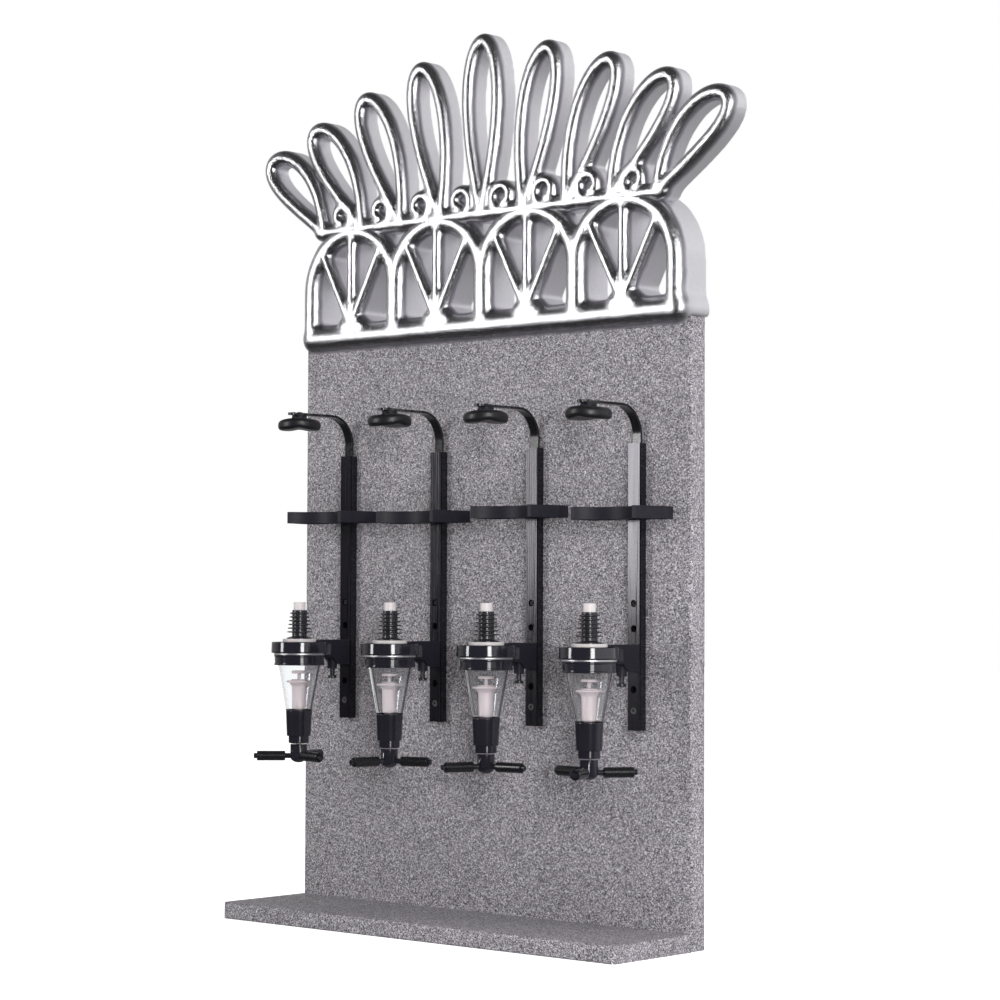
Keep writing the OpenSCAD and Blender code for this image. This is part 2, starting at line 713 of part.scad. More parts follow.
// Cap, trim ring and collar ring: the stack that hangs in the bracket
module caps() {
    bevel = cap_h * 0.07;
    r = cap_d / 2;
    color("#141416") for (i = stations) on_axis(i)
        rotate_extrude($fn = fine) polygon([
            [tube_d / 2 + fit_gap, cap_z], [r - bevel, cap_z], [r, cap_z + bevel],
            [r, cap_top - bevel], [r - bevel, cap_top], [tube_d / 2 + fit_gap, cap_top]]);
}

module trim_rings() {
    bevel = ring_h * 0.2;
    r = ring_d / 2;
    color("#dcdcdc") for (i = stations) on_axis(i)
        rotate_extrude($fn = fine) polygon([
            [tube_d / 2 + fit_gap, ring_z], [r - bevel, ring_z], [r, ring_z + bevel],
            [r, cap_z - bevel], [r - bevel, cap_z], [tube_d / 2 + fit_gap, cap_z]]);
}

module collar_rings() {
    rim = collar_d * 0.011;
    rim_h = collar_h * 0.13;
    r = collar_d / 2;
    bore = chamber_top_d / 2 + fit_gap;
    color("#141416") for (i = stations) on_axis(i)
        rotate_extrude($fn = fine) polygon([
            [bore, collar_z], [r + rim, collar_z], [r + rim, collar_z + rim_h], [r, collar_z + 1.5 * rim_h],
            [r, ring_z - 1.5 * rim_h], [r + rim, ring_z - rim_h], [r + rim, ring_z], [bore, ring_z]]);
}

// Chamber: the clear measure, a tapering shell with a spigot into the housing
spigot_r = housing_top_d / 2 - chamber_wall;
spigot_len = housing_h * 0.26;
spigot_z = chamber_z - spigot_len;
floor_t = chamber_wall;
stem_d = 5;
outlet_r = stem_d;

module chambers() {
    top_r = chamber_top_d / 2;
    foot_r = chamber_foot_d / 2;
    color("#c9d0d8", 0.4) for (i = stations) on_axis(i)
        rotate_extrude($fn = fine) polygon([
            [outlet_r, spigot_z], [spigot_r, spigot_z], [spigot_r, chamber_z], [foot_r, chamber_z],
            [top_r, collar_z], [top_r, ring_z], [top_r - chamber_wall, ring_z],
            [top_r - chamber_wall, collar_z], [foot_r - chamber_wall, chamber_z + chamber_wall / 2],
            [spigot_r - chamber_wall, chamber_z], [spigot_r - chamber_wall, spigot_z + floor_t],
            [outlet_r, spigot_z + floor_t]]);
}

// Valve housing: black tapering sleeve with the nozzle that the hub rises into
nozzle_bore_r = hub_d / 2 + run_gap;
spring_room_r = nozzle_bore_r * 0.9;
bore_top = nozzle_z + valve_travel + run_gap;
shoulder_t = chamber_wall;
shoulder_z = spigot_z - shoulder_t;
washer_h = 0.9;
stem_collar_h = 1.2;
stem_collar_z = bore_top + stem_collar_h;
valve_spring_z = stem_collar_z + stem_collar_h;

module valve_housings() {
    bevel = nozzle_h * 0.1;
    color("#161618") for (i = stations) on_axis(i)
        rotate_extrude($fn = fine) polygon([
            [nozzle_bore_r, nozzle_z], [nozzle_d / 2 - bevel, nozzle_z], [nozzle_d / 2, nozzle_z + bevel],
            [nozzle_d / 2, housing_z], [housing_foot_d / 2 - bevel, housing_z],
            [housing_foot_d / 2, housing_z + bevel], [housing_top_d / 2, chamber_z],
            [spigot_r + fit_gap, chamber_z], [spigot_r + fit_gap, spigot_z], [outlet_r - over / 2, spigot_z],
            [outlet_r - over / 2, shoulder_z], [spring_room_r, shoulder_z], [spring_room_r, bore_top],
            [nozzle_bore_r, bore_top]]);
}

// Valve stem: inlet disc, flange, displacer and washer in one white moulding
disc_d = 15.6;
disc_t = 2.8;
disc_top = inlet_z - valve_travel - run_gap;
flange_d = 25.6;
flange_t = 1.8;
disc_to_flange = 10.3;
flange_top = disc_top - disc_to_flange;
displacer_d = 14.8;
displacer_foot_d = 13.8;
displacer_cone_d = 20.4;
displacer_cone_h = 4;
displacer_up = 2;
displacer_foot = chamber_z + displacer_up;
stem_thin_d = 3.6;
step_d = 16.2;
step_h = 1.4;
hub_top = nozzle_z - washer_h - run_gap;
stem_foot = hub_top - hub_h * 0.5;
stem_knob_d = stem_d * 1.5;
stem_knob_h = stem_d * 0.2;
plug_r = outlet_r * 1.25;
plug_z = spigot_z + floor_t + run_gap;
plug_h = stem_d * 0.4;

module valve_stem(i) {
    flange_z = flange_top - flange_t;
    color("#efe6dd") on_axis(i) rotate_extrude($fn = fine) polygon([
        [0, stem_foot], [stem_knob_d / 2, stem_foot], [stem_knob_d / 2, stem_foot + stem_knob_h],
        [stem_d / 2, stem_foot + stem_knob_h], [stem_d / 2, nozzle_z - washer_h],
        [hub_d / 2, nozzle_z - washer_h], [hub_d / 2, nozzle_z], [stem_d / 2, nozzle_z],
        [stem_d / 2, stem_collar_z], [spring_room_r - run_gap, stem_collar_z],
        [spring_room_r - run_gap, valve_spring_z], [stem_d / 2, valve_spring_z],
        [stem_d / 2, plug_z], [plug_r, plug_z], [plug_r, plug_z + plug_h], [stem_d / 2, plug_z + plug_h],
        [stem_d / 2, displacer_foot - step_h], [displacer_foot_d / 2 - step_h, displacer_foot],
        [displacer_foot_d / 2, displacer_foot + step_h], [displacer_d / 2, flange_z - displacer_cone_h],
        [displacer_cone_d / 2, flange_z], [flange_d / 2, flange_z],
        [flange_d / 2, flange_top], [step_d / 2, flange_top], [step_d / 2, flange_top + step_h],
        [stem_thin_d / 2, flange_top + step_h], [stem_thin_d / 2, disc_top - disc_t],
        [disc_d / 2, disc_top - disc_t], [disc_d / 2, disc_top], [0, disc_top]]);
}

module valve_spring(i) {
    color("silver") on_axis(i)
        tube(valve_spring_z, shoulder_z, spring_room_r - 2 * run_gap, stem_d / 2 + 2 * run_gap);
}

// Spider: the hub and its three arms that a glass is pushed up against
arm_z = hub_top - hub_h * 0.63;
sleeve_from = arm_reach - sleeve_len - arm_d * 0.6;

module arm_rods(from, to, r) {
    for (k = [0 : 2])
        rotate([0, 0, 120 * k]) translate([from, 0, arm_z]) rotate([0, 90, 0])
            cylinder(h = to - from, r = r, $fn = fine);
}

module spider(i) {
    r = hub_d / 2;
    hub_foot = hub_top - hub_h;
    dome = hub_h * 0.32;
    crown = concat([[0, hub_foot]], [for (a = [15 : 15 : 90]) [r * sin(a), hub_foot + dome * (1 - cos(a))]]);
    color("#1a1a1d") on_axis(i) rotate([0, 0, spider_turns[i - 1]]) difference() {
        union() {
            rotate_extrude($fn = fine) polygon(concat(crown, [[r, hub_top], [0, hub_top]]));
            arm_rods(0, arm_reach, arm_d / 2);
        }
        translate([0, 0, stem_foot - run_gap])
            cylinder(h = hub_h, r = stem_d / 2 + pin_gap, $fn = fine);
        translate([0, 0, stem_foot - run_gap])
            cylinder(h = stem_knob_h + 2 * run_gap, r = stem_knob_d / 2 + run_gap, $fn = fine);
        translate([0, 0, hub_foot - over])
            cylinder(h = stem_foot - hub_foot + over, r = stem_d * 0.4, $fn = fine);
    }
}

module arm_sleeves(i) {
    bore = arm_d / 2 + fit_gap;
    color("#101012") on_axis(i) rotate([0, 0, spider_turns[i - 1]]) difference() {
        arm_rods(sleeve_from, sleeve_from + sleeve_len, sleeve_d / 2);
        arm_rods(sleeve_from - over, arm_reach + over, bore);
    }
}

// Crest: cast bars with a soft raised front, an arcade of fans under a row of leaf loops
crest_front_y = panel_front_y - crest_front;
bead_fn = 16;
arch_count = 4;
arch_pitch = 2 * (arcade_half_w - arch_half) / arch_count;
arch_r = arch_pitch / 2;
foot_z = panel_h + arch_half;
arch_spring_z = panel_h + arcade_h - arch_half - arch_r;
fan_z = foot_z + arch_half * 0.6;

module bead(p, r, depth, crown) {
    translate([p[0], crest_front_y + depth, p[1]]) rotate([90, 0, 0]) rotate_extrude($fn = bead_fn)
        polygon([[0, 0], [r, 0], [r, depth - crown], [r * 0.86, depth - crown * 0.42],
                 [r * 0.5, depth - crown * 0.08], [0, depth]]);
}

module bar(path, r, depth, crown) {
    for (k = [1 : len(path) - 1]) hull() {
        bead(path[k - 1], r, depth, crown);
        bead(path[k], r, depth, crown);
    }
}

// A leaf loop: height and width follow a drop, and its tip leans outwards
leaf_count_half = 4;
leaf_pitch = arch_pitch * 0.46;
leaf_w = arch_pitch * 0.34;
leaf_steps = 12;
leaf_foot_z = panel_h + arcade_h - leaf_half;
curl_steps = 7;

function leaf_path(x, lean, tall) = [for (k = [0 : leaf_steps])
    let (a = 360 * k / leaf_steps, up = (1 - cos(a)) / 2, side = leaf_w * 0.62 * sin(a) * sqrt(up),
         along = tall * up, bent = lean * (0.7 + 0.3 * up))
    [x + side * cos(bent) + along * sin(bent), leaf_foot_z + along * cos(bent) - side * sin(bent)]];

function curl_path(x, z, r, way) = [for (k = [0 : curl_steps])
    let (a = 270 - 340 * k / curl_steps, q = r * (1 - 0.5 * k / curl_steps))
    [x + way * q * cos(a), z + q * sin(a)]];

module leaf_row() {
    crown = leaf_half * 0.9;
    rail_half = leaf_pitch * (leaf_count_half + 0.1);
    curl_r = leaf_pitch * 0.26;
    bar([[-rail_half, leaf_foot_z], [rail_half, leaf_foot_z]], leaf_half, leaf_depth, crown);
    for (j = [-leaf_count_half : leaf_count_half])
        bar(leaf_path(j * leaf_pitch, 11 * j, (leaf_h - leaf_half) * (1 - 0.34 * abs(j) / leaf_count_half)),
            leaf_half, leaf_depth, crown);
    for (s = [-1, 1], j = [0 : leaf_count_half - 1])
        bar(curl_path(s * (j + 0.5) * leaf_pitch, leaf_foot_z + curl_r, curl_r, s),
            leaf_half * 0.75, leaf_depth, crown);
}

module arcade() {
    crown = arch_half * 0.8;
    left = -arcade_half_w + arch_half;
    bar([[left, foot_z - lip_drop / 2], [-left, foot_z - lip_drop / 2]], arch_half + lip_drop / 2,
        arcade_depth, crown);
    for (k = [0 : arch_count - 1]) {
        x = left + arch_r + k * arch_pitch;
        bar(concat([[x + arch_r, foot_z]], arc([x, arch_spring_z], arch_r, 0, 180, 12), [[x - arch_r, foot_z]]),
            arch_half, arcade_depth, crown);
        bar([[x - arch_half, fan_z], [x + arch_half, fan_z]], arch_half, arcade_depth, crown);
        for (a = [45, 90, 135])
            bar([[x, fan_z], [x, arch_spring_z] + arch_r * [cos(a), sin(a)]], spoke_half, arcade_depth,
                spoke_half);
    }
}

module crest() {
    color("#c4c4c8") difference() {
        union() {
            arcade();
            leaf_row();
        }
        translate([-arcade_half_w - arch_half, panel_front_y - fit_gap, panel_h - lip_drop - over])
            cube([2 * (arcade_half_w + arch_half), arcade_depth, lip_drop + over + fit_gap]);
        crest_stud_rods(run_gap, run_gap);
    }
}

// Studs: plain steel dowels, half in the panel's top edge and half in the crest's foot
crest_stud_up = arch_half * 1.3;
crest_stud_down = panel_t * 1.1;
crest_stud_pitch = arch_pitch;

module crest_stud_rods(side_gap, end_gap) {
    for (k = [-1.5 : 1 : 1.5])
        translate([k * crest_stud_pitch, panel_front_y + panel_t / 2, panel_h - crest_stud_down - end_gap])
            cylinder(h = crest_stud_up + crest_stud_down + 2 * end_gap, r = crest_stud_d / 2 + side_gap,
                     $fn = fine / 4);
}

module crest_studs() {
    color("silver") crest_stud_rods(0, 0);
}

back_panel();
base_shelf();
shelf_screws();
crest();
crest_studs();
rails();
rail_screws();
brackets();
intake_tubes();
stoppers();
caps();
trim_rings();
collar_rings();
chambers();
valve_housings();
saddle_screws();
strap(1);  // strap_1
strap(2);  // strap_2
strap(3);  // strap_3
strap(4);  // strap_4
pad_stud(1);  // pad_stud_1
pad_stud(2);  // pad_stud_2
pad_stud(3);  // pad_stud_3
pad_stud(4);  // pad_stud_4
bottle_pad(1);  // bottle_pad_1
bottle_pad(2);  // bottle_pad_2
bottle_pad(3);  // bottle_pad_3
bottle_pad(4);  // bottle_pad_4
strap_spring(1);  // strap_spring_1
strap_spring(2);  // strap_spring_2
strap_spring(3);  // strap_spring_3
strap_spring(4);  // strap_spring_4
cradle(1);  // cradle_1
cradle(2);  // cradle_2
cradle(3);  // cradle_3
cradle(4);  // cradle_4
release_pin(1);  // release_pin_1
release_pin(2);  // release_pin_2
release_pin(3);  // release_pin_3
release_pin(4);  // release_pin_4
release_spring(1);  // release_spring_1
release_spring(2);  // release_spring_2
release_spring(3);  // release_spring_3
release_spring(4);  // release_spring_4
valve_stem(1);  // valve_stem_1
valve_stem(2);  // valve_stem_2
valve_stem(3);  // valve_stem_3
valve_stem(4);  // valve_stem_4
valve_spring(1);  // valve_spring_1
valve_spring(2);  // valve_spring_2
valve_spring(3);  // valve_spring_3
valve_spring(4);  // valve_spring_4
spider(1);  // spider_1
spider(2);  // spider_2
spider(3);  // spider_3
spider(4);  // spider_4
arm_sleeves(1);  // arm_sleeves_1
arm_sleeves(2);  // arm_sleeves_2
arm_sleeves(3);  // arm_sleeves_3
arm_sleeves(4);  // arm_sleeves_4
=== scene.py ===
# %% [markdown]
# # A bar stand with four spirit measures
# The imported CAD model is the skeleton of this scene: it says where every piece is and how it moves.
# Each step below takes one piece or one finish, says what it is on the real stand, how it could be
# made in Blender, and why one way was chosen. Sizes are in millimetres until a mesh is written.

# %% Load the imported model
import math
import bmesh
import bpy
import numpy as np
from mathutils import Matrix


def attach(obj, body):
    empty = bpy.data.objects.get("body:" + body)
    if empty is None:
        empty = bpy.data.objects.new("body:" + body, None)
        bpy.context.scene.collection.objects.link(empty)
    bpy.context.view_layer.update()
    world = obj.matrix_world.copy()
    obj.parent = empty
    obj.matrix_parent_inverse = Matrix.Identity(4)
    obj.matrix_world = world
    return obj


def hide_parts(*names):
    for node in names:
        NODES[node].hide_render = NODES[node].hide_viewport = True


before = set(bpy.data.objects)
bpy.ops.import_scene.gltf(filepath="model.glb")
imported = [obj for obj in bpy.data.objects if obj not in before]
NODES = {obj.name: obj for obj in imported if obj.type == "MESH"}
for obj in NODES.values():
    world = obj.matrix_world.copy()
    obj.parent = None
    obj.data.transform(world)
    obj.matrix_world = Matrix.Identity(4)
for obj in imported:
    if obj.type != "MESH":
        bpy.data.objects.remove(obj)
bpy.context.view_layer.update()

MM = 0.001
STATIONS = (1, 2, 3, 4)

# %% [markdown]
# ## The camera
# The photograph was taken with a long lens from the right of the stand. The place and the turn of
# the camera were solved once from the straight edges of panel and shelf, so they are written here as
# plain numbers. A camera could also be aimed with a constraint, but a solved view has a small roll
# that a constraint would lose, so its matrix is put together from the three turned axes.

# %% Camera
def aim_camera(place, yaw, pitch, roll, lens):
    """The matrix columns are right, up and back, worked out from heading, tilt and roll."""
    level = math.cos(pitch)
    ahead = np.array([math.sin(yaw) * level, math.cos(yaw) * level, math.sin(pitch)])
    right = np.array([math.cos(yaw), -math.sin(yaw), 0.0])
    up = np.cross(right, ahead)
    c, s = math.cos(roll), math.sin(roll)
    rolled = right * c + up * s, up * c - right * s
    camera = bpy.data.objects.new("camera", bpy.data.cameras.new("camera"))
    bpy.context.scene.collection.objects.link(camera)
    columns = np.eye(4)
    columns[:3, 0], columns[:3, 1], columns[:3, 2], columns[:3, 3] = *rolled, -ahead, place
    camera.matrix_world = Matrix(columns.tolist())
    camera.data.lens, camera.data.sensor_width = lens, 36.0
    bpy.context.scene.camera = camera


aim_camera(place=(1.8047, -1.9635, 0.3287), yaw=-0.7264, pitch=0.0377, roll=0.0038, lens=96.6)
print("camera set")

# %% [markdown]
# ## Surfaces from arrays
# Most pieces are turned or moulded, so each is a grid of points: rows follow a profile, columns
# carry it round an axis or along a path. Working on whole arrays keeps the code short and exact,
# where stacking primitives and booleans would leave seams. These helpers turn such grids into
# meshes that ride on the right body and stand for the right CAD nodes.

# %% Grid and mesh helpers
def grid_faces(rows, columns, wrap_rows=False, wrap_columns=True):
    """Four-cornered faces between neighbouring points of a rows by columns grid."""
    r = np.arange(rows if wrap_rows else rows - 1)
    c = np.arange(columns if wrap_columns else columns - 1)
    r, c = np.meshgrid(r, c, indexing="ij")
    r2, c2 = (r + 1) % rows, (c + 1) % columns
    corners = r * columns + c, r * columns + c2, r2 * columns + c2, r2 * columns + c
    return np.stack(corners, -1).reshape(-1, 4)


def join(parts):
    """Several (points, faces) pairs as one, with the faces' numbers moved on."""
    points, faces, start = [], [], 0
    for p, f in parts:
        points.append(p)
        faces.append(f + start)
        start += len(p)
    return np.concatenate(points), np.concatenate(faces)


def new_mesh(name, points, faces, weld=1e-6, sharp=None):
    """Points in millimetres and four-cornered faces become a smooth mesh; poles are welded shut."""
    mesh = bpy.data.meshes.new(name)
    mesh.vertices.add(len(points))
    mesh.vertices.foreach_set("co", (np.asarray(points) * MM).astype(np.float32).ravel())
    mesh.loops.add(faces.size)
    mesh.loops.foreach_set("vertex_index", faces.astype(np.int32).ravel())
    mesh.polygons.add(len(faces))
    mesh.polygons.foreach_set("loop_start", np.arange(0, faces.size, 4, dtype=np.int32))
    mesh.update(calc_edges=True)
    if weld:
        work = bmesh.new()
        work.from_mesh(mesh)
        bmesh.ops.remove_doubles(work, verts=work.verts, dist=weld)
        bmesh.ops.recalc_face_normals(work, faces=work.faces)
        work.to_mesh(mesh)
        work.free()
    mesh.shade_smooth()
    if sharp:
        mesh.set_sharp_from_angle(angle=math.radians(sharp))
    return mesh


def place(name, mesh, finish, slot, body, *nodes):
    """The mesh becomes a piece with its finish, rides on a body and stands for CAD nodes."""
    piece = bpy.data.objects.new(name, mesh)
    bpy.context.scene.collection.objects.link(piece)
    mesh.materials.clear()
    mesh.materials.append(finish)
    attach(piece, body)
    if nodes:
        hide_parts(*nodes)
    return piece


# %% [markdown]
# ## Turned pieces
# A cap, a ring or a chamber is a profile swept round the bottle's axis. The profile is drawn with
# sharp corners and then softened: each corner becomes a small curve with a holding point on either
# side, so that flat faces stay flat under smooth shading. A bevel modifier would do the same later,
# but a softened profile costs nothing and never fails where radii meet.

# %% Profile and sweep
MOST_OF_LEG = 0.42      # the largest share of a leg that one corner may take
HOLD = 1.15             # holding points lie this much further from the corner than the curve's ends


def soften(profile, radius, closed=True, steps=4):
    """Each corner is a quadratic curve from one leg to the other, starting radius away from it."""
    p = np.asarray(profile, float)
    radius = np.broadcast_to(np.asarray(radius, float), len(p))
    out = []
    for i, corner in enumerate(p):
        if not closed and i in (0, len(p) - 1):
            out.append(corner[None])
            continue
        before, after = p[i - 1] - corner, p[(i + 1) % len(p)] - corner
        lengths = np.linalg.norm(before), np.linalg.norm(after)
        reach = min(radius[i], MOST_OF_LEG * lengths[0], MOST_OF_LEG * lengths[1])
        a, b = corner + before / lengths[0] * reach, corner + after / lengths[1] * reach
        t = np.linspace(0, 1, steps + 1)[:, None]
        curve = (1 - t) ** 2 * a + 2 * t * (1 - t) * corner + t ** 2 * b
        hold_a, hold_b = corner + (a - corner) * HOLD, corner + (b - corner) * HOLD
        out.append(np.concatenate([hold_a[None], curve, hold_b[None]]))
    return np.concatenate(out)


def turned(profile, axis, closed=True, steps=96):
    """Points (r cos t, r sin t, z) for every profile point (r, z) and every turn t round the axis."""
    r, z = profile[:, :1], profile[:, 1:]
    t = np.linspace(0, 2 * np.pi, steps, endpoint=False)[None, :]
    points = np.stack([axis[0] + r * np.cos(t), axis[1] + r * np.sin(t), z + 0 * t], -1).reshape(-1, 3)
    return points, grid_faces(len(profile), steps, wrap_rows=closed)


RAIL_FACE_Y = 37.5
AXIS_REACH = 66.0       # from the rail's face to the axis of bottle and measure
STUD_REACH = 68.0       # from the rail's face to the pad's stud
STATION_PITCH = 129.5
ROW_SHIFT = 3.75


def station_x(i):
    """Stations stand one pitch apart, and the row sits a little right of the middle."""
    return (i - 2.5) * STATION_PITCH + ROW_SHIFT


def axis_of(i):
    """The upright axis of a station's bottle and measure."""
    return station_x(i), RAIL_FACE_Y - AXIS_REACH


def turned_in_row(name, profile, finish, slot, node, closed=True, sharp=None):
    """One CAD node holds the same turned piece at all four stations, so one mesh holds four sweeps."""
    points, faces = join([turned(profile, axis_of(i), closed) for i in STATIONS])
    piece = place(name, new_mesh(name, points, faces, sharp=sharp), finish, slot, "stand", node)
    print(name, len(piece.data.vertices), "points")
    return piece


print("axes of the measures", [axis_of(i) for i in STATIONS])

# %% [markdown]
# ## Pieces taken over from CAD
# Rails, brackets, cradles and straps already have their exact outline in the CAD mesh. What they
# lack is the fine rounding that catches the light on every real edge. Modelling them again would
# only risk the fit, so each one is copied, its loose triangles are merged into whole faces, and a
# Bevel modifier rounds every edge sharper than thirty degrees; the rails, panel and shelf are
# copied without one.

# %% Dressing a CAD node
WELD_M = 2e-6           # loose triangles share their corners when these are closer than this
FLAT_DEGREES = 0.6      # faces that meet at less than this are one flat face


def dressed(node, finish, slot, body, edge, segments=2, angle=30, shape=None):
    """Merge the loose triangles, dissolve what lies flat, and bevel the edges by `edge` millimetres."""
    work = bmesh.new()
    work.from_mesh(NODES[node].data)
    bmesh.ops.remove_doubles(work, verts=work.verts, dist=WELD_M)
    if shape:
        shape(work)
    flat = math.radians(FLAT_DEGREES)
    bmesh.ops.dissolve_limit(work, angle_limit=flat, verts=work.verts, edges=work.edges)
    mesh = bpy.data.meshes.new(node + "_shown")
    work.to_mesh(mesh)
    work.free()
    mesh.shade_smooth()
    mesh.set_sharp_from_angle(angle=math.radians(angle))
    piece = place(node + "_shown", mesh, finish, slot, body, node)
    if edge:
        bevel = piece.modifiers.new("rounded_edges", "BEVEL")
        bevel.width, bevel.segments, bevel.limit_method = edge * MM, segments, "ANGLE"
        bevel.angle_limit, bevel.harden_normals = math.radians(angle), True
        bevel.use_clamp_overlap = True
    return piece


# %% [markdown]
# ## Shared effects
# Effects that any finish can use are node groups that only put out masks and heights: a fine grain
# that breaks up gloss, a speckle of separate chips, and a mask of worn edges. The shaders stay in
# each material, because an exporter can't look for them inside a group. Short helpers make a node and
# feed its inputs in one line, whether a value is plain or comes from another node.

# %% Node helpers
def link(tree, a, b):
    """Output a is joined to input b."""
    tree.links.new(a, b)


def feed(tree, value, socket):
    """An output is linked to the socket; a plain value is set on it."""
    if isinstance(value, bpy.types.NodeSocket):
        link(tree, value, socket)
    else:
        socket.default_value = value


def put(tree, shader, **values):
    """Feeds the inputs of a node by name, with _ for a space."""
    for key, value in values.items():
        feed(tree, value, shader.inputs[key.replace("_", " ")])


def node(tree, kind, **values):
    """A shader node with its plain properties set and its inputs fed by name."""
    n = tree.nodes.new("ShaderNode" + kind)
    for key, value in values.items():
        if hasattr(n, key):
            setattr(n, key, value)
        else:
            put(tree, n, **{key: value})
    return n


def feed_in_order(tree, n, values):
    """Inputs that share one name are fed by their order."""
    for socket, value in zip(n.inputs, values):
        feed(tree, value, socket)
    return n.outputs[0]


def maths(tree, operation, *values):
    """A Math node; gives its output."""
    return feed_in_order(tree, node(tree, "Math", operation=operation), values)


def vector_maths(tree, operation, *values, **more):
    """A Vector Math node; gives its output."""
    return feed_in_order(tree, node(tree, "VectorMath", operation=operation, **more), values)


def spread(tree, value, low, high, to_low=0.0, to_high=1.0):
    """A Map Range node from low..high to to_low..to_high, clamped."""
    return node(tree, "MapRange", Value=value, From_Min=low, From_Max=high, To_Min=to_low,
                To_Max=to_high).outputs["Result"]


def mix(tree, share, a, b, kind="RGBA", blend="MIX"):
    """A Mix node that goes from a to b by share."""
    return node(tree, "Mix", data_type=kind, blend_type=blend, Factor=share, A=a, B=b).outputs["Result"]


def grey(tree, value):
    """One value in red, green and blue, as a colour."""
    return feed_in_order(tree, node(tree, "CombineColor"), (value, value, value))


def ramp(tree, value, stops, interpolation="LINEAR"):
    """A colour ramp with its stops as (position, colour)."""
    n = node(tree, "ValToRGB")
    link(tree, value, n.inputs[0])
    n.color_ramp.interpolation = interpolation
    while len(n.color_ramp.elements) < len(stops):
        n.color_ramp.elements.new(0.5)
    for element, (at, colour) in zip(n.color_ramp.elements, stops):
        element.position, element.color = at, (*colour, 1)
    return n.outputs["Color"]


def bump(tree, height, strength, distance, **under):
    """A Bump node on a height, over another normal if one is given; gives its normal."""
    return node(tree, "Bump", Strength=strength, Distance=distance, Height=height, **under).outputs[0]


def object_place(tree):
    """The point's place in its piece's own frame, which every piece shares with the CAD model."""
    return tree.nodes.new("ShaderNodeTexCoord").outputs["Object"]


def xyz(tree, vector):
    """The outputs X, Y and Z of a vector."""
    return node(tree, "SeparateXYZ", Vector=vector).outputs


def new_group(name, inputs, outputs):
    """An empty node group with float inputs (name, default) and float outputs."""
    tree = bpy.data.node_groups.new(name, "ShaderNodeTree")
    for socket_name, default in inputs:
        socket = tree.interface.new_socket(socket_name, in_out="INPUT", socket_type="NodeSocketFloat")
        socket.default_value = default
    for socket_name in outputs:
        tree.interface.new_socket(socket_name, in_out="OUTPUT", socket_type="NodeSocketFloat")
    return tree, tree.nodes.new("NodeGroupInput").outputs, tree.nodes.new("NodeGroupOutput").inputs


def use_group(tree, group, **values):
    """A node group with its inputs set; gives its outputs."""
    n = tree.nodes.new("ShaderNodeGroup")
    n.node_tree = group
    put(tree, n, **values)
    return n.outputs


def new_material(name):
    """A material with nodes, its tree and its Principled shader."""
    material = bpy.data.materials.new(name)
    material.use_nodes = True
    return material, material.node_tree, material.node_tree.nodes["Principled BSDF"]


# %% The grain, speckle and wear groups
def make_grain():
    """Fine noise plus a slow cloud, both round a half; Drawn below one stretches them along Z."""
    tree, given, made = new_group("moulded_grain", [("Fineness", 900.0), ("Cloud", 18.0), ("Drawn", 1.0)],
                                  ["Grain", "Patches"])
    squeeze = node(tree, "CombineXYZ", X=1.0, Y=1.0, Z=given["Drawn"]).outputs[0]
    spot = vector_maths(tree, "MULTIPLY", object_place(tree), squeeze)
    for scale, detail, out in (("Fineness", 2.0, "Grain"), ("Cloud", 3.0, "Patches")):
        noise = node(tree, "TexNoise", Vector=spot, Scale=given[scale], Detail=detail)
        link(tree, noise.outputs["Fac"], made[out])
    return tree


def make_speckle():
    """Two sizes of separate chips, each with its own random value, and the height of their middles."""
    tree, given, made = new_group("stone_speckle", [("Size", 650.0)], ["Chips", "Flecks", "Height"])
    spot = object_place(tree)
    bent = node(tree, "TexNoise", Vector=spot, Scale=420.0, Detail=1.0).outputs["Color"]
    spot = vector_maths(tree, "ADD", spot, vector_maths(tree, "SCALE", bent, Scale=0.0016))
    for factor, out in ((1.0, "Chips"), (1.4, "Flecks")):
        cells = node(tree, "TexVoronoi", Vector=spot, Scale=maths(tree, "MULTIPLY", given["Size"], factor))
        link(tree, node(tree, "SeparateColor", Color=cells.outputs["Color"]).outputs[0], made[out])
        if out == "Chips":
            link(tree, cells.outputs["Distance"], made["Height"])
    return tree


def make_wear():
    """Where the surface folds outwards the mask rises, broken up by noise."""
    tree, given, made = new_group("worn_edges", [("Start", 0.53), ("End", 0.62)], ["Wear"])
    pointed = tree.nodes.new("ShaderNodeNewGeometry").outputs["Pointiness"]
    fold = spread(tree, pointed, given["Start"], given["End"])
    noise = node(tree, "TexNoise", Vector=object_place(tree), Scale=260.0, Detail=4.0)
    broken = spread(tree, noise.outputs["Fac"], 0.42, 0.62)
    link(tree, maths(tree, "MULTIPLY", fold, broken), made["Wear"])
    return tree


GRAIN, SPECKLE, WEAR = make_grain(), make_speckle(), make_wear()
print("groups", [g.name for g in bpy.data.node_groups])

# %% [markdown]
# ## Plain finishes
# Black parts are told apart by their gloss, not their colour: gloss mouldings mirror the lamps,
# nylon is satin, rubber is dull. One recipe covers them all: a base colour that shifts a little
# with slow patches and gets paler on worn edges, a roughness that follows the grain, and a slight
# bump. Painting each from pictures would be the other way, but noise on Object coordinates has no
# seams and keeps its true scale on every piece.

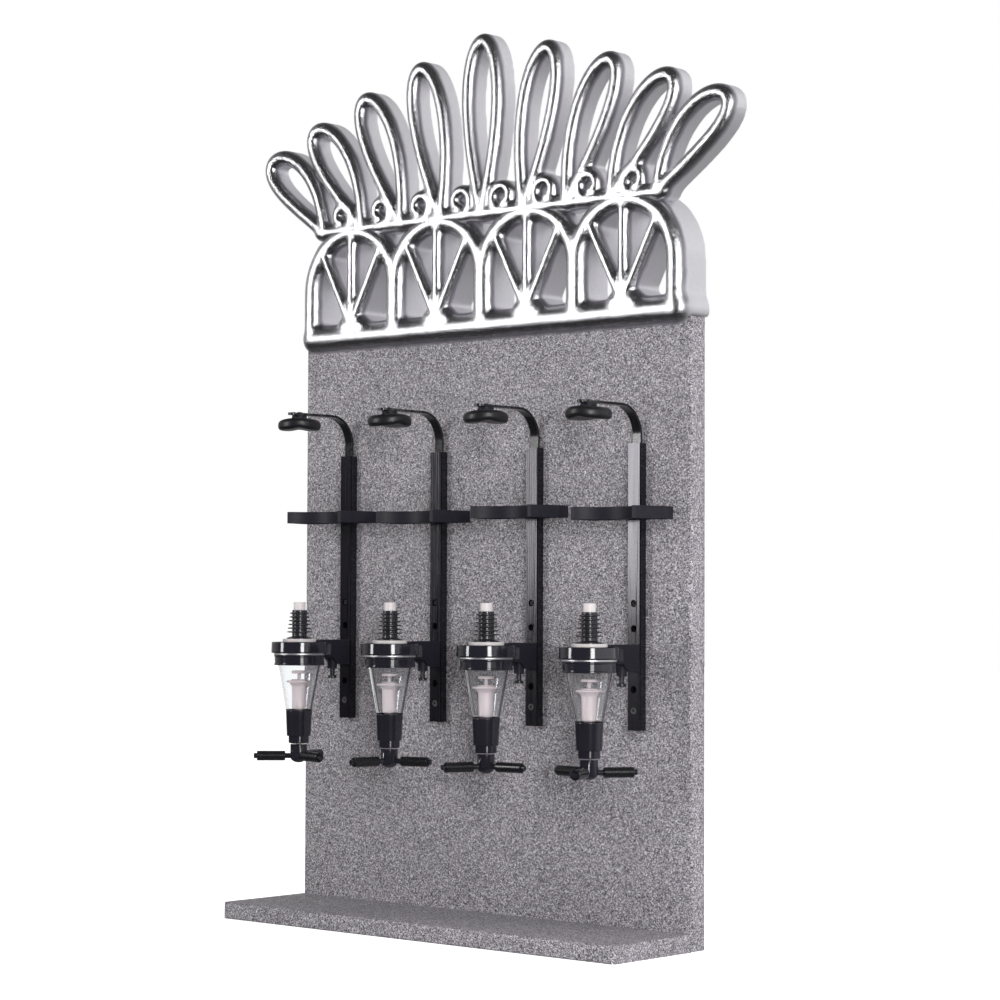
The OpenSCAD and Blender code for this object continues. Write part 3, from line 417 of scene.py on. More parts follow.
# %% The recipe for a plain finish
def plain_finish(name, colour, gloss, raised=0.05, wear=0.0, worn_colour=None, spread_of_gloss=0.08,
                 shift=0.12, drawn=1.0, **surface):
    """Colour shifts by `shift` with the patches, roughness by `spread_of_gloss` with the grain."""
    material, tree, shader = new_material(name)
    grain = use_group(tree, GRAIN, Fineness=900.0, Cloud=22.0, Drawn=drawn)
    tone = grey(tree, spread(tree, grain["Patches"], 0.3, 0.7, 1.0 - shift, 1.0 + shift))
    shown = mix(tree, 1.0, (*colour, 1), tone, blend="MULTIPLY")
    if wear:
        share = maths(tree, "MULTIPLY", use_group(tree, WEAR)["Wear"], wear)
        shown = mix(tree, share, shown, (*worn_colour, 1))
    rough = spread(tree, grain["Grain"], 0.3, 0.7, gloss - spread_of_gloss, gloss + spread_of_gloss)
    put(tree, shader, Base_Color=shown, Roughness=rough, Normal=bump(tree, grain["Grain"], raised, 0.0004),
        **surface)
    return material


# %% The plain finishes by name
GLOSS_BLACK = plain_finish("gloss_black_moulding", (0.014, 0.0135, 0.02), 0.10, raised=0.012,
                           spread_of_gloss=0.03, IOR=1.52, Specular_IOR_Level=0.75)
NYLON = plain_finish("black_nylon", (0.011, 0.0105, 0.018), 0.5, raised=0.07, wear=0.2,
                     worn_colour=(0.06, 0.06, 0.068), Specular_IOR_Level=0.3)
ANODISED = plain_finish("black_anodised", (0.006, 0.006, 0.009), 0.15, raised=0.16, drawn=0.01,
                        spread_of_gloss=0.04, IOR=1.55, Specular_IOR_Level=0.48,
                        Specular_Tint=(0.97, 0.92, 1.0, 1.0))
LACQUER = plain_finish("black_strap_lacquer", (0.008, 0.008, 0.010), 0.18, raised=0.02, wear=0.4,
                       worn_colour=(0.12, 0.12, 0.128), Specular_IOR_Level=0.45)
DARK_STEEL = plain_finish("blackened_steel", (0.05, 0.05, 0.055), 0.42, wear=0.5,
                          worn_colour=(0.25, 0.25, 0.26), Metallic=0.6)
RIVET_STEEL = plain_finish("rivet_steel", (0.32, 0.32, 0.34), 0.22, wear=0.3,
                           worn_colour=(0.6, 0.6, 0.61), Metallic=1.0)
PIN_FINISH = plain_finish("dark_turned_pin", (0.05, 0.05, 0.055), 0.22, wear=0.3,
                          worn_colour=(0.2, 0.2, 0.21), Metallic=0.8)
ZINC = plain_finish("zinc_plate", (0.55, 0.55, 0.57), 0.36, Metallic=1.0)
BRIGHT = plain_finish("bright_trim", (0.92, 0.91, 0.93), 0.42, raised=0.02, Metallic=1.0)
WHITE = plain_finish("white_moulding", (0.64, 0.60, 0.605), 0.34, raised=0.04, shift=0.03,
                     Subsurface_Weight=0.12, Subsurface_Scale=0.004)
# The stem is the white moulding made darker: painted shade for the dimmer light inside the clear chamber.
SHADED_STEM_WHITE = plain_finish("stem_white_with_painted_shade", (0.52, 0.45, 0.47), 0.36, raised=0.04, shift=0.03,
                          Subsurface_Weight=0.1, Subsurface_Scale=0.003)
RUBBER = plain_finish("stopper_rubber", (0.022, 0.021, 0.027), 0.24, Specular_IOR_Level=0.8)
PAD_RUBBER = plain_finish("pad_rubber", (0.008, 0.008, 0.010), 0.40, raised=0.08)
SLEEVE = plain_finish("sleeve_rubber", (0.010, 0.010, 0.012), 0.22, raised=0.03)
print("finishes", len(bpy.data.materials))

# %% [markdown]
# ## The clear chamber's plastic
# The measure is moulded from clear acrylic, so light has to bend through a closed shell with an
# inner and an outer wall. A thin tinted film would be cheaper, yet it shows no bright rims, and the
# rims are what tells the eye that the part is thick and clear. Transmission stays a plain number.

# %% Clear acrylic
def clear_acrylic():
    """Transmission one, the index of acrylic, faint scuffs, and a thin shadow as clear plastic has."""
    material, tree, shader = new_material("clear_acrylic")
    scuffs = use_group(tree, GRAIN, Fineness=500.0, Cloud=40.0)["Patches"]
    in_shadow = tree.nodes.new("ShaderNodeLightPath").outputs["Is Shadow Ray"]
    put(tree, shader, Base_Color=(0.97, 0.98, 0.985, 1), Transmission_Weight=1.0, IOR=1.49,
        Roughness=spread(tree, scuffs, 0.35, 0.75, 0.0, 0.03),
        Alpha=spread(tree, in_shadow, 0.0, 1.0, 1.0, 0.2))
    return material


ACRYLIC = clear_acrylic()
print("made", ACRYLIC.name)

# %% [markdown]
# ## The stone-effect coat
# Panel and shelf are board sprayed with a coat of tiny chips, black, grey and near white, about a
# millimetre across. Plain noise gives clouds, not chips; cells from a Voronoi texture have one
# value each, which a stepped colour ramp turns into separate chips, and a finer layer lies over them.

# %% Stone coat
CHIP_COLOURS = ((0.0, (0.012, 0.011, 0.016)), (0.2, (0.09, 0.083, 0.098)), (0.42, (0.22, 0.205, 0.228)),
                (0.66, (0.37, 0.348, 0.376)), (0.88, (0.64, 0.61, 0.64)))
FLECK_COLOURS = ((0.0, (0.02, 0.018, 0.025)), (0.24, (0.16, 0.148, 0.17)), (0.55, (0.30, 0.282, 0.308)),
                 (0.82, (0.60, 0.57, 0.60)))


def stone_coat():
    """Chips choose their colour from a stepped ramp; flecks add small dark and pale dots."""
    material, tree, shader = new_material("stone_coat")
    speckle = use_group(tree, SPECKLE, Size=1060.0)
    grain = use_group(tree, GRAIN, Fineness=1500.0, Cloud=7.0)
    chips = ramp(tree, speckle["Chips"], CHIP_COLOURS, "CONSTANT")
    flecks = ramp(tree, speckle["Flecks"], FLECK_COLOURS, "CONSTANT")
    clouds = grey(tree, spread(tree, grain["Patches"], 0.3, 0.7, 1.14, 1.28))
    height = maths(tree, "ADD", speckle["Height"], grain["Grain"])
    put(tree, shader, Base_Color=mix(tree, 1.0, mix(tree, 0.26, chips, flecks), clouds, blend="MULTIPLY"),
        Roughness=spread(tree, speckle["Flecks"], 0.0, 1.0, 0.5, 0.72),
        Normal=bump(tree, height, 0.35, 0.0005))
    return material


STONE = stone_coat()
for name in ("back_panel", "base_shelf"):
    dressed(name, STONE, "stone_coat", "stand", 0, angle=32)
print("stone coat on panel and shelf")

# %% [markdown]
# ## Cast aluminium
# The crest is sand cast. Its raised front is polished by hand, which leaves a mirror with fine pits
# and soft hammer-like waves, while the deep sides stay a pale satin grey. Two materials would need
# a hard seam; one material with a mask on the depth from the front keeps the ragged edge where the
# polishing wheel stopped. Just behind that edge the colour is painted dark in a band along the
# flanks, a painted reflection of the dark studio, and the sides beyond it are pale again.

# %% Cast aluminium
# Pale on the polished front, dark at the rim where the front turns into the sides, pale again on the satin
# sides: the dark rim is a painted reflection of the dark studio, not a tone of the metal.
CAST_TONES_AND_RIM_REFLECTION = ((0.0, (0.80, 0.79, 0.82)), (0.3, (0.36, 0.355, 0.39)), (0.5, (0.40, 0.395, 0.43)),
              (1.0, (0.78, 0.77, 0.81)))
PIT_COLOUR = (0.42, 0.41, 0.42, 1)


def cast_aluminium(front_y, polished_depth):
    """The mask `satin` is zero on the polished front and one behind the wheel's ragged edge."""
    material, tree, shader = new_material("cast_aluminium_%d" % round(polished_depth))
    spot = object_place(tree)
    grain = use_group(tree, GRAIN, Fineness=620.0, Cloud=55.0)
    pits = node(tree, "TexNoise", Vector=spot, Scale=820.0, Detail=3.0, Roughness=0.65).outputs["Fac"]
    waves = node(tree, "TexNoise", Vector=spot, Scale=210.0, Detail=1.5).outputs["Fac"]
    depth = maths(tree, "MULTIPLY_ADD", grain["Patches"], 0.006, xyz(tree, spot)["Y"])
    start = (front_y + polished_depth) * MM + 0.003
    satin = spread(tree, depth, start - 0.0012, start + 0.0016)
    # The colour follows the depth as well: a painted dark reflection in a band at the rim.
    tones_and_rim_reflection = ramp(tree, spread(tree, depth, start - 0.002, start + 0.006), CAST_TONES_AND_RIM_REFLECTION)
    pitted = spread(tree, pits, 0.58, 0.70)
    shine = spread(tree, grain["Grain"], 0.3, 0.7, 0.14, 0.24)
    shine = maths(tree, "MULTIPLY_ADD", pitted, 0.08, shine)
    dull = spread(tree, grain["Grain"], 0.3, 0.7, 0.38, 0.50)
    put(tree, shader, Metallic=1.0, Roughness=mix(tree, satin, shine, dull, kind="FLOAT"),
        Base_Color=mix(tree, maths(tree, "MULTIPLY", pitted, 0.45), tones_and_rim_reflection, PIT_COLOUR),
        Normal=bump(tree, pits, 0.9, 0.0004, Normal=bump(tree, waves, 0.25, 0.0010)))
    return material


# %% [markdown]
# ## The crest as a field
# The casting is a web of bars that run into each other with soft fillets. Sweeping a tube along each
# bar would leave creases where they meet. Instead the crest is one field: the distance from the
# middle lines of all bars in the plane, blended so that joints fill out, then given depth with a
# pillowed front. The surface is where the field is zero, and a surface net finds it.

# %% Bars of the arcade and of the leaves
CREST_FRONT, PANEL_FRONT = 33.5, 47.5
PANEL_TOP = 600.0
ARCH_HALF, SPOKE_HALF, LEAF_HALF = 11.0, 6.0, 8.0
ARCADE_HALF_W, ARCADE_H, LIP = 256.0, 128.0, 8.0
ARCH_PITCH = 2 * (ARCADE_HALF_W - ARCH_HALF) / 4
ARCH_R = ARCH_PITCH / 2
FOOT_Z = PANEL_TOP + ARCH_HALF
SPRING_Z = PANEL_TOP + ARCADE_H - ARCH_HALF - ARCH_R
FAN_Z = FOOT_Z + ARCH_HALF * 0.6
LEAF_PITCH, LEAF_W, LEAF_H = ARCH_PITCH * 0.46, ARCH_PITCH * 0.34, 183.0
LEAF_FOOT_Z = PANEL_TOP + ARCADE_H - LEAF_HALF


def arcade_bars():
    """Stilted half-circle arches side by side, a fan of three spokes in each, and the foot bar."""
    left = -ARCADE_HALF_W + ARCH_HALF
    bars = [(np.array([[left, FOOT_Z - LIP / 2], [-left, FOOT_Z - LIP / 2]]), ARCH_HALF + LIP / 2)]
    turn = np.radians(np.linspace(0, 180, 49))
    for k in range(4):
        x = left + ARCH_R + k * ARCH_PITCH
        arch = np.stack([x + ARCH_R * np.cos(turn), SPRING_Z + ARCH_R * np.sin(turn)], 1)
        bars.append((np.concatenate([[[x + ARCH_R, FOOT_Z]], arch, [[x - ARCH_R, FOOT_Z]]]), ARCH_HALF))
        bars.append((np.array([[x - ARCH_HALF, FAN_Z], [x + ARCH_HALF, FAN_Z]]), ARCH_HALF))
        for a in np.radians([45, 90, 135]):
            tip = [x + ARCH_R * math.cos(a), SPRING_Z + ARCH_R * math.sin(a)]
            bars.append((np.array([[x, FAN_Z], tip]), SPOKE_HALF))
    return bars


def leaf_bars():
    """At turn a, a loop has risen by (1 - cos a) / 2 and swings out with sin a times the root of that,
    which makes a drop; the loops lean outwards, and small spiral curls stand between them."""
    half_row = LEAF_PITCH * 4.1
    bars = [(np.array([[-half_row, LEAF_FOOT_Z], [half_row, LEAF_FOOT_Z]]), LEAF_HALF)]
    a = np.radians(np.linspace(0, 360, 61))
    up = (1 - np.cos(a)) / 2
    side = LEAF_W * 0.62 * np.sin(a) * np.sqrt(up)
    for j in range(-4, 5):
        along = (LEAF_H - LEAF_HALF) * (1 - 0.34 * abs(j) / 4) * up
        bent = np.radians(11 * j * (0.7 + 0.3 * up))
        x = j * LEAF_PITCH + side * np.cos(bent) + along * np.sin(bent)
        bars.append((np.stack([x, LEAF_FOOT_Z + along * np.cos(bent) - side * np.sin(bent)], 1), LEAF_HALF))
    t = np.linspace(0, 1, 29)
    curl_r = LEAF_PITCH * 0.26
    turn, radius = np.radians(270 - 340 * t), curl_r * (1 - 0.5 * t)
    for s in (-1, 1):
        for j in range(4):
            x = s * (j + 0.5) * LEAF_PITCH + s * radius * np.cos(turn)
            bars.append((np.stack([x, LEAF_FOOT_Z + curl_r + radius * np.sin(turn)], 1), LEAF_HALF * 0.75))
    return bars


print("bars", len(arcade_bars()), "in the arcade and", len(leaf_bars()), "in the leaves")


# %% The field and its surface net
def bar_field(bars, x, z, fillet):
    """Distance to each bar's edge, blended by a soft minimum, and the half width of the bars there."""
    total, widths = np.zeros(len(x)), np.zeros(len(x))
    for path, half in bars:
        start, leg = path[:-1], np.diff(path, axis=0)
        gx, gz = x[:, None] - start[:, 0], z[:, None] - start[:, 1]
        t = np.clip((gx * leg[:, 0] + gz * leg[:, 1]) / np.maximum((leg ** 2).sum(1), 1e-9), 0, 1)
        near = np.sqrt((gx - t * leg[:, 0]) ** 2 + (gz - t * leg[:, 1]) ** 2).min(1) - half
        share = np.exp(-np.maximum(near, -40) / fillet)
        total += share
        widths += share * half
    total = np.maximum(total, 1e-290)
    return -fillet * np.log(total), np.where(total > 1e-280, widths / total, LEAF_HALF)


def surface_net(field, xs, ys, zs):
    """One point in each crossed cell, at the mean of its edge crossings, and one face for each of them."""
    axes = (xs, ys, zs)
    shape = np.array(field.shape) - 1
    count = int(shape.prod())
    sums, hits = np.zeros((3, count)), np.zeros(count)
    faces = []
    for k in range(3):
        a = np.take(field, range(field.shape[k] - 1), k)
        b = np.take(field, range(1, field.shape[k]), k)
        i = np.argwhere((a < 0) != (b < 0))
        va, vb = a[tuple(i.T)], b[tuple(i.T)]
        share = va / (va - vb)
        spot = np.stack([axes[m][i[:, m]] for m in range(3)], 0).astype(float)
        spot[k] += share * (axes[k][i[:, k] + 1] - axes[k][i[:, k]])
        u, v = (k + 1) % 3, (k + 2) % 3
        corners = []
        for du, dv in ((-1, -1), (0, -1), (0, 0), (-1, 0)):
            cell = i.copy()
            cell[:, u] += du
            cell[:, v] += dv
            flat = (cell[:, 0] * shape[1] + cell[:, 1]) * shape[2] + cell[:, 2]
            corners.append(flat)
            hits += np.bincount(flat, minlength=count)
            for m in range(3):
                sums[m] += np.bincount(flat, weights=spot[m], minlength=count)
        quad = np.stack(corners, 1)
        quad[va > 0] = quad[va > 0][:, ::-1]
        faces.append(quad)
    used = np.flatnonzero(hits)
    number = np.zeros(count, int)
    number[used] = np.arange(len(used))
    return (sums[:, used] / hits[used]).T, number[np.concatenate(faces)]


def relax(points, faces, rounds):
    """Each round moves a point half way to the mean of its faces' middles."""
    for _ in range(rounds):
        middles = points[faces].mean(1)
        flat = faces.ravel()
        count = np.bincount(flat, minlength=len(points))[:, None]
        mean = np.stack([np.bincount(flat, weights=np.repeat(middles[:, m], 4), minlength=len(points))
                         for m in range(3)], 1) / count
        points = points * 0.5 + mean * 0.5
    return points


def cast_piece(name, bars, step, depth, fillet, low_z):
    """Field: a pillow as deep as the half width in front, the flat bars behind, cut at the back, and
    cut away behind the panel's front below the panel's top, where only the lip hangs."""
    spots = np.concatenate([p for p, _ in bars])
    room = 17.0
    xs = np.arange(spots[:, 0].min() - room, spots[:, 0].max() + room, step)
    zs = np.arange(max(spots[:, 1].min() - room - 2, low_z - 3), spots[:, 1].max() + room, step)
    fine, coarse = np.arange(-1.8, 12.0, 1.0), np.arange(12.0, depth - 2.5, 3.4)
    ys = np.concatenate([fine, coarse, depth + np.array([-1.6, -0.6, 0.4, 1.4])]) + CREST_FRONT
    flat_x, flat_z = (g.ravel() for g in np.meshgrid(xs, zs, indexing="ij"))
    flat, half = (g.reshape(len(xs), 1, len(zs)) for g in bar_field(bars, flat_x, flat_z, fillet))
    y, z = ys[None, :, None], zs[None, None, :]
    a = np.clip((CREST_FRONT + half - y) / half, 0, None)
    b = np.clip(1 + flat / half, 0, None)
    field = np.maximum(half * (np.sqrt(a ** 2 + b ** 2) - 1), y - CREST_FRONT - depth)
    field = np.maximum(field, np.minimum(y - PANEL_FRONT, PANEL_TOP - z))
    field = np.maximum(field, low_z - z)
    points, faces = surface_net(field, xs, ys, zs)
    points = relax(points, faces, 1)
    print(name, len(points), "points", 2 * len(faces), "triangles")
    return new_mesh(name, points, faces, weld=0)


# %% Cast the crest
arcade = cast_piece("crest_arcade", arcade_bars(), step=1.75, depth=42.0, fillet=2.4, low_z=PANEL_TOP - LIP)
place("crest_arcade", arcade, cast_aluminium(CREST_FRONT, 5.8), "cast_aluminium", "stand", "crest")
leaves = cast_piece("crest_leaves", leaf_bars(), step=1.85, depth=25.0, fillet=2.0, low_z=PANEL_TOP + 100)
place("crest_leaves", leaves, cast_aluminium(CREST_FRONT, 4.4), "cast_aluminium", "stand", "crest")

# %% [markdown]
# ## Rails, brackets, cradles and straps
# These come straight from their CAD shapes, all but the rails with rounded edges. The rail is an
# anodised extrusion, the bracket and the cradle are satin nylon mouldings, and the strap is a
# lacquered steel strip.

# %% Dressed pieces
HOLE_HEIGHTS = (245.0, 303.0, 327.0)
HOLE_ZONE = 2.6         # points this near a hole's middle, seen from the front, are on its rim
HOLE_GROWTH = 1.65


def widen_rail_holes(work):
    """The real rails have larger, softer holes than the model's; each hole grows about its middle."""
    for v in work.verts:
        for i in STATIONS:
            for z in HOLE_HEIGHTS:
                dx, dz = v.co.x - station_x(i) * MM, v.co.z - z * MM
                if math.hypot(dx, dz) < HOLE_ZONE * MM:
                    v.co.x, v.co.z = v.co.x + dx * (HOLE_GROWTH - 1), v.co.z + dz * (HOLE_GROWTH - 1)


dressed("rails", ANODISED, "black_anodised", "stand", 0, angle=1, shape=widen_rail_holes)
dressed("rail_screws", DARK_STEEL, "black_steel", "stand", 0.15)
dressed("brackets", NYLON, "black_nylon", "stand", 0.5)
for i in STATIONS:
    dressed("cradle_%d" % i, NYLON, "black_nylon", "cradle_%d" % i, 0.7)
    dressed("strap_%d" % i, LACQUER, "black_strap", "strap_arm_%d" % i, 0.4)
    dressed("release_pin_%d" % i, PIN_FINISH, "dark_pin", "release_%d" % i, 0.35)
    dressed("spider_%d" % i, GLOSS_BLACK, "gloss_black", "spider_%d" % i, 0.5)
    dressed("arm_sleeves_%d" % i, SLEEVE, "sleeve_rubber", "spider_%d" % i, 0.7)

# %% [markdown]
# ## The stack of each measure
# From the top: a white tube, ribbed rubber stopper, white seal, gloss cap, bright ring, gloss
# collar, clear chamber, and the black valve housing. All are turned round the bottle's axis.

# %% Heights of the stack
SEAL_TOP, STOPPER_TOP, TUBE_TOP, INLET_Z = 289.2, 318.8, 327.0, 264.72
CAP_TOP, CAP_Z, RING_Z, COLLAR_Z = 285.9, 274.7, 272.7, 262.2
CHAMBER_Z, HOUSING_Z, NOZZLE_Z = 215.8, 189.4, 182.2
TUBE_R, BORE_R, SEAL_R = 6.05, 4.0, 17.25
print("a measure stands", round(TUBE_TOP - NOZZLE_Z, 1), "mm tall")

# %% Tube, cap and rings
turned_in_row("intake_tubes_shown", soften(
    [[BORE_R, INLET_Z], [TUBE_R, INLET_Z], [TUBE_R, CAP_TOP], [SEAL_R, CAP_TOP], [SEAL_R, SEAL_TOP],
     [TUBE_R, SEAL_TOP], [TUBE_R, TUBE_TOP], [BORE_R, TUBE_TOP]],
    [0.2, 0.2, 0.1, 0.7, 0.9, 0.6, 0.6, 0.5]), WHITE, "white_plastic", "intake_tubes")
turned_in_row("caps_shown", soften(
    [[6.1, CAP_Z], [28.85, CAP_Z], [28.45, CAP_TOP], [27.2, CAP_TOP], [26.7, CAP_TOP - 0.5],
     [6.1, CAP_TOP - 0.5]], [0.1, 1.1, 1.3, 0.4, 0.4, 0.1]), GLOSS_BLACK, "gloss_black", "caps")
turned_in_row("trim_rings_shown", soften([[6.1, RING_Z], [26.0, RING_Z], [26.0, CAP_Z], [6.1, CAP_Z]],
                                         [0.1, 0.6, 0.6, 0.1]), BRIGHT, "bright_trim", "trim_rings")
turned_in_row("collar_rings_shown", soften(
    [[21.55, COLLAR_Z], [25.85, COLLAR_Z], [25.85, COLLAR_Z + 1.5], [25.3, COLLAR_Z + 2.0],
     [25.3, RING_Z - 2.0], [25.85, RING_Z - 1.5], [25.85, RING_Z], [21.55, RING_Z]], 0.35),
    GLOSS_BLACK, "gloss_black", "collar_rings")


# %% Ribbed stopper
def stopper_profile():
    """Six ribs grow evenly towards the seal, and each ends in a rounded lip."""
    height, bore, core, foot = STOPPER_TOP - SEAL_TOP, 6.1, 7.6, 12.94
    outline, radii = [[bore, STOPPER_TOP], [core, STOPPER_TOP]], [0.3, 0.5]
    for share in np.linspace(0, 1, 6):
        z = STOPPER_TOP - height * (0.11 + 0.65 * share)
        r = (19.5 + 5.5 * share) / 2
        outline += [[core, z + 0.9], [r, z + 0.55], [r, z - 0.55], [core, z - 0.9]]
        radii += [0.5, 0.42, 0.42, 0.5]
    outline += [[core, SEAL_TOP + 2.6], [foot, SEAL_TOP + 1.1], [foot, SEAL_TOP], [bore, SEAL_TOP]]
    return soften(outline[::-1], (radii + [0.8, 0.4, 0.2, 0.1])[::-1])


turned_in_row("stoppers_shown", stopper_profile(), RUBBER, "black_rubber", "stoppers")

# %% Chamber and housing
SPIGOT_Z, SPIGOT_R, OUTLET_R = 208.94, 11.7, 5.0
turned_in_row("chambers_shown", soften(
    [[OUTLET_R, SPIGOT_Z], [SPIGOT_R, SPIGOT_Z], [SPIGOT_R, CHAMBER_Z], [13.45, CHAMBER_Z],
     [21.5, COLLAR_Z], [21.5, RING_Z], [19.7, RING_Z], [19.7, COLLAR_Z], [11.65, CHAMBER_Z + 0.9],
     [9.9, CHAMBER_Z], [9.9, SPIGOT_Z + 1.8], [OUTLET_R, SPIGOT_Z + 1.8]],
    [0.2, 0.2, 0.1, 0.4, 0.8, 0.2, 0.2, 0.8, 1.0, 0.4, 0.4, 0.2]), ACRYLIC, "clear_acrylic", "chambers")
NOZZLE_BORE_R, BORE_TOP = 8.9, 190.5
SPRING_BORE_R, SPRING_BORE_TOP, GUIDE_R = 8.01, 207.14, 4.5
turned_in_row("valve_housings_shown", soften(
    [[NOZZLE_BORE_R, NOZZLE_Z], [10.5, NOZZLE_Z], [10.5, HOUSING_Z], [12.4, HOUSING_Z],
     [13.5, CHAMBER_Z], [11.75, CHAMBER_Z], [11.75, SPIGOT_Z], [GUIDE_R, SPIGOT_Z],
     [GUIDE_R, SPRING_BORE_TOP], [SPRING_BORE_R, SPRING_BORE_TOP], [SPRING_BORE_R, BORE_TOP],
     [NOZZLE_BORE_R, BORE_TOP]], [0.4, 0.7, 0.2, 0.8, 0.5] + [0.1] * 7),
    GLOSS_BLACK, "gloss_black", "valve_housings")

# %% [markdown]
# ## The white valve stem
# Seen through the clear wall, the stem is what the eye rests on: an inlet disc, a flange and a fat
# displacer. It moves with the valve, so each station has its own piece. Its profile ends on the
# axis at both ends, where the sweep is welded to a pole. Its white is darker than the other white
# mouldings: painted shade for the dimmer light inside the clear chamber.

# %% Valve stems
ROD_R, PLUG_R = 2.5, 6.25
FOOT = [[0, 171.5], [3.75, 171.5], [3.75, 172.5], [ROD_R, 172.5]]
WASHERS = [[ROD_R, 181.7], [8.3, 181.7], [8.3, 182.2], [ROD_R, 182.2],
           [ROD_R, 191.7], [7.71, 191.7], [7.71, 192.9], [ROD_R, 192.9]]
SEAT_PLUG = [[ROD_R, 211.04], [PLUG_R, 211.04], [PLUG_R, 213.04], [ROD_R, 213.04]]
DISPLACER = [[ROD_R, 216.5], [5.8, 216.5], [7.1, 217.8], [7.4, 240.32], [10.2, 244.32], [12.8, 244.32],
             [12.8, 246.12], [8.1, 246.12], [8.1, 247.52], [1.8, 247.52]]
INLET_DISC = [[1.8, 253.62], [7.8, 253.62], [7.8, 256.42], [0, 256.42]]
STEM_CORNERS = [0.3] * 19 + [0.9] + [0.5] * 7 + [0.7] * 2 + [0.3]
STEM = soften(FOOT + WASHERS + SEAT_PLUG + DISPLACER + INLET_DISC, STEM_CORNERS, closed=False)
for i in STATIONS:
    mesh = new_mesh("valve_stem_%d_shown" % i, *turned(STEM, axis_of(i), closed=False))
    place("valve_stem_%d_shown" % i, mesh, SHADED_STEM_WHITE, "white_plastic", "valve_%d" % i, "valve_stem_%d" % i)
print("valve stems", len(mesh.vertices), "points each")

# %% [markdown]
# ## The rubber pads
# A pad is a thick round of rubber, bent down at two sides to sit on the round base of a bottle. It
# could be bent with a modifier, but a formula is exact: a rounded disc is swept, then its top is
# lowered with the square of the distance across the groove and the groove is let in underneath.

# %% Bottle pads
PAD_R, PAD_H, PAD_GROOVE, PAD_DROOP, PAD_TOP = 22.0, 12.5, 2.2, 2.0, 514.0
RIM_TOP_R, RIM_FOOT_R, GROOVE_HALF = 5.0, 4.5, 0.3 * PAD_R
PAD_TURNS = (135, 165, 140, 98)             # degrees, as each pad stands in the photograph
STRAP_LIFTS = (2.4, 1.2, -0.6, -2.5)
STUD_Y = RAIL_FACE_Y - STUD_REACH


def corner(r, z, radius, start, steps=9):
    """A quarter circle of the profile that ends ninety degrees below where it starts."""
    a = np.radians(np.linspace(start, start - 90, steps))
    return np.stack([r + radius * np.cos(a), z + radius * np.sin(a)], 1)


def pad_points(i):
    """Height = top curve times (1 - t) plus bottom curve times t, where t is the share of the thickness."""
    flat = np.linspace(0, 1, 12)[:, None]
    top_r, foot_r = PAD_R - RIM_TOP_R, PAD_R - RIM_FOOT_R
    profile = np.concatenate([
        flat[:-1] * [top_r, 0], corner(top_r, -RIM_TOP_R, RIM_TOP_R, 90),
        corner(foot_r, RIM_FOOT_R - PAD_H, RIM_FOOT_R, 0),
        [foot_r, -PAD_H] * (1 - flat[1:]) + [0, -PAD_H] * flat[1:]])
    points, faces = turned(profile, (0, 0), closed=False, steps=120)
    share = -points[:, 2] / PAD_H
    across = np.abs(points[:, 1])
    top = -PAD_DROOP * (across / PAD_R) ** 2
    bottom = -PAD_H + PAD_GROOVE / (1 + (across / GROOVE_HALF) ** 2.4)
    points[:, 2] = PAD_TOP + STRAP_LIFTS[i - 1] + top * (1 - share) + bottom * share
    a = math.radians(PAD_TURNS[i - 1])
    x, y = points[:, 0].copy(), points[:, 1].copy()
    points[:, 0] = station_x(i) + x * math.cos(a) - y * math.sin(a)
    points[:, 1] = STUD_Y + x * math.sin(a) + y * math.cos(a)
    return points, faces


for i in STATIONS:
    mesh = new_mesh("bottle_pad_%d_shown" % i, *pad_points(i))
    place("bottle_pad_%d_shown" % i, mesh, PAD_RUBBER, "pad_rubber", "pad_%d" % i, "bottle_pad_%d" % i)
print("pads", len(mesh.vertices), "points each")

# %% [markdown]
# ## Studs and rivets
# The pad turns on a stud that is riveted through the strap's end, and a bright rivet sits beside it.
# Both are lathe work, so they are swept like the stack, with a domed head on each.

# %% Pad studs
BOSS_TOP, BOSS_FOOT, STUD_FOOT, HEAD_Z, HEAD_TOP = 517.5, 514.3, 508.48, 520.0, 520.9
RIVET_Z, RIVET_R, RIVET_DOME, RIVET_OFFSET = 518.5, 2.75, 2.25, 8.0
STUD = soften([[0, STUD_FOOT], [5.1, STUD_FOOT], [5.1, STUD_FOOT + 1.2], [3.0, STUD_FOOT + 1.2],
               [3.0, BOSS_FOOT], [7.98, BOSS_FOOT], [7.5, BOSS_TOP], [0, BOSS_TOP]], 0.25, closed=False)
HEAD = soften([[0, BOSS_TOP], [2.04, BOSS_TOP], [2.04, HEAD_Z], [3.24, HEAD_Z], [2.6, HEAD_TOP],
               [0, HEAD_TOP]], 0.25, closed=False)
RISE = np.radians(np.arange(10, 91, 10))
DOME = np.stack([RIVET_R * np.cos(RISE), RIVET_Z + RIVET_DOME * np.sin(RISE)], 1)
RIVET = np.concatenate([[[0, BOSS_TOP], [1.3, BOSS_TOP], [1.3, RIVET_Z], [RIVET_R, RIVET_Z]], DOME])
for i in STATIONS:
    x, lift = station_x(i), [0, STRAP_LIFTS[i - 1]]
    mesh = new_mesh("pad_stud_%d_shown" % i, *turned(STUD + lift, (x, STUD_Y), closed=False))
    place("pad_stud_%d_shown" % i, mesh, NYLON, "black_steel", "strap_arm_%d" % i, "pad_stud_%d" % i)
    head = turned(HEAD + lift, (x, STUD_Y), closed=False, steps=64)
    rivet = turned(RIVET + lift, (x, STUD_Y - RIVET_OFFSET), closed=False, steps=48)
    mesh = new_mesh("rivets_%d_shown" % i, *join([head, rivet]), sharp=50)
    place("rivets_%d_shown" % i, mesh, RIVET_STEEL, "black_steel", "strap_arm_%d" % i, "pad_stud_%d" % i)
print("studs and rivets", len(mesh.vertices), "points each")

